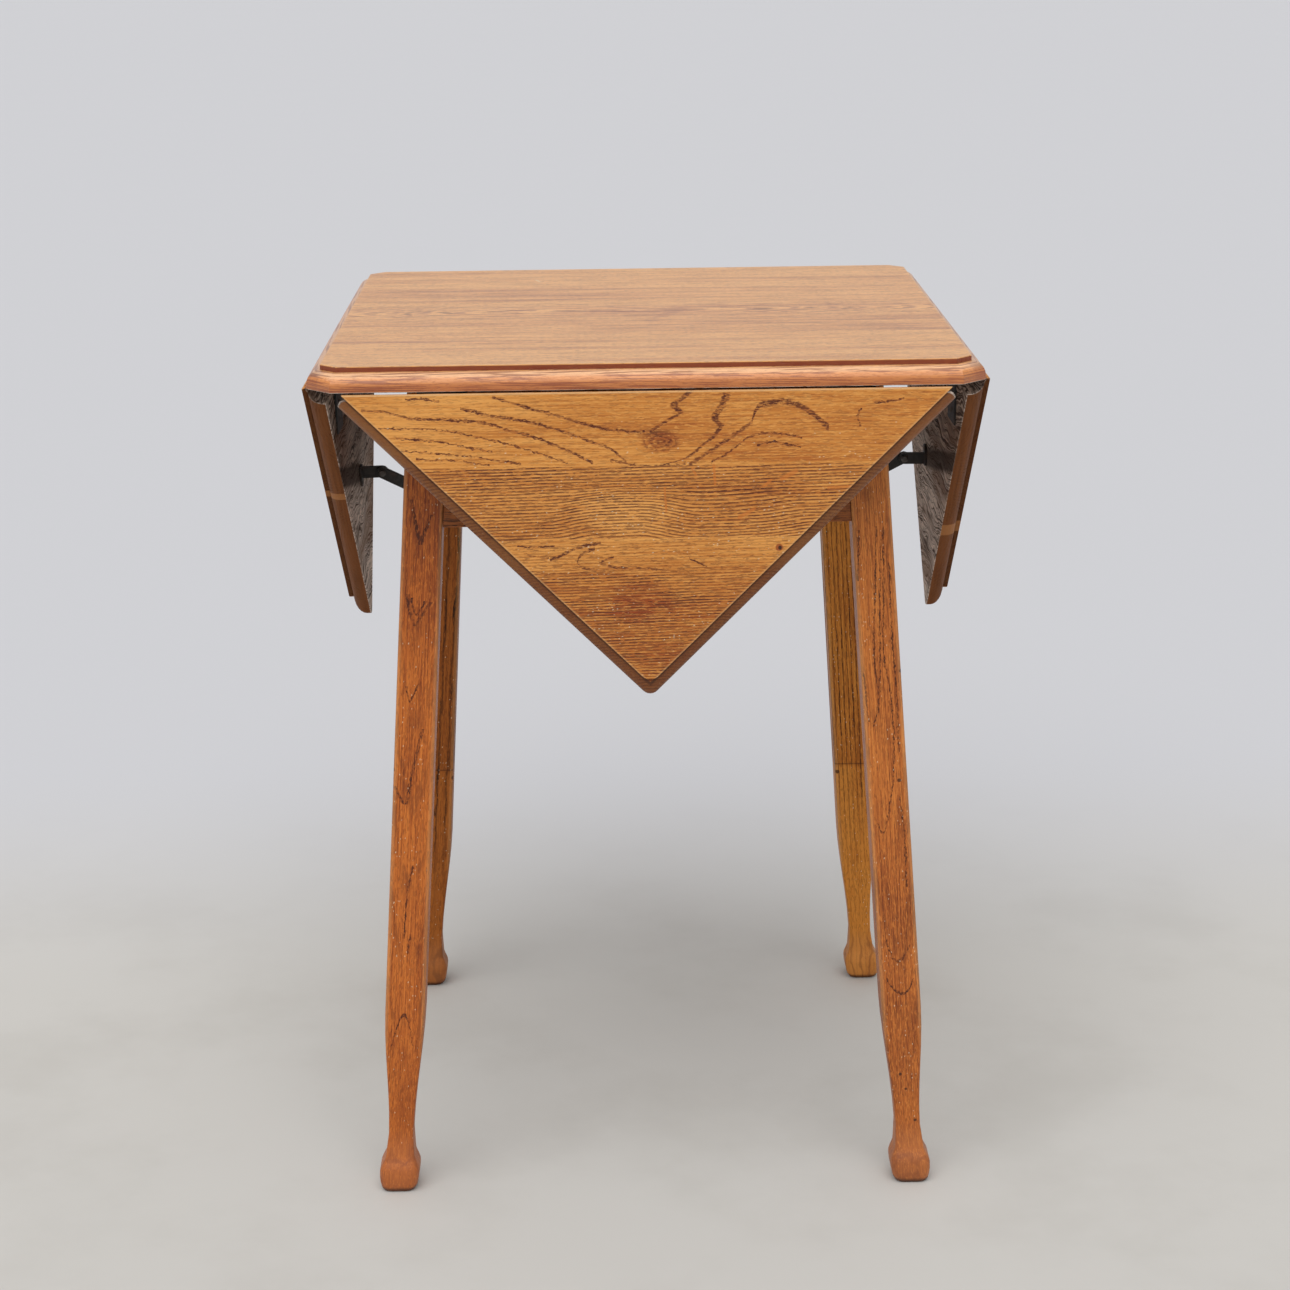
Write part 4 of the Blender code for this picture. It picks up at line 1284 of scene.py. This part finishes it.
def camera():
    data = bpy.data.cameras.new("camera")
    data.lens = CAMERA_LENS
    data.sensor_width = SENSOR
    data.clip_end = CAMERA_FAR
    piece = bpy.data.objects.new("camera", data)
    forward = Vector((math.sin(CAMERA_YAW) * math.cos(CAMERA_PITCH),
                      math.cos(CAMERA_YAW) * math.cos(CAMERA_PITCH), -math.sin(CAMERA_PITCH)))
    level = Vector((math.cos(CAMERA_YAW), -math.sin(CAMERA_YAW), 0.0))
    upright = level.cross(forward)
    right = level * math.cos(CAMERA_ROLL) + upright * math.sin(CAMERA_ROLL)
    up = upright * math.cos(CAMERA_ROLL) - level * math.sin(CAMERA_ROLL)
    turn = Matrix((right, up, -forward)).transposed().to_4x4()
    piece.matrix_world = Matrix.Translation(CAMERA_PLACE) @ turn
    bpy.context.scene.collection.objects.link(piece)
    bpy.context.scene.camera = piece


def main():
    iron = iron_material("black_iron", IRON, worn_share=0.35)
    rivet = iron_material("worn_rivet", IRON_WORN, worn_share=1.0)
    steel = iron_material("screw_steel", STEEL, worn_share=0.6)
    dress("top_board", top_material(), WOOD_EDGE)
    for number, corner in enumerate(CORNERS):
        dress(f"leg_{corner}", leg_material(corner, number), LEG_EDGE, LEG_SHADING)
        dress(f"corner_block_{corner}", block_material(corner, number), WOOD_EDGE)
    for number, side in enumerate(SIDES):
        dress(f"leaf_{side}", leaf_material(side, number), WOOD_EDGE)
        dress(f"apron_{side}", apron_material(side, number), WOOD_EDGE)
        for piece in ("stay_keeper", "stay_bracket", "stay_bar"):
            dress(f"{piece}_{side}", iron, IRON_EDGE)
        dress(f"stay_rivet_{side}", rivet, SMALL_EDGE)
        for hinge in (1, 2):
            for piece in ("hinge_board_plate", "hinge_leaf_plate", "hinge_pin"):
                dress(f"{piece}_{side}_{hinge}", iron, SMALL_EDGE)
        screw_group(f"screws_leaf_{side}", f"{side}_leaf", leaf_screws(side), steel)
    screw_group("screws_frame", "frame", frame_screws(), steel)
    floor()
    lights()
    camera()
    bpy.context.scene.view_settings.view_transform = "Standard"


main()
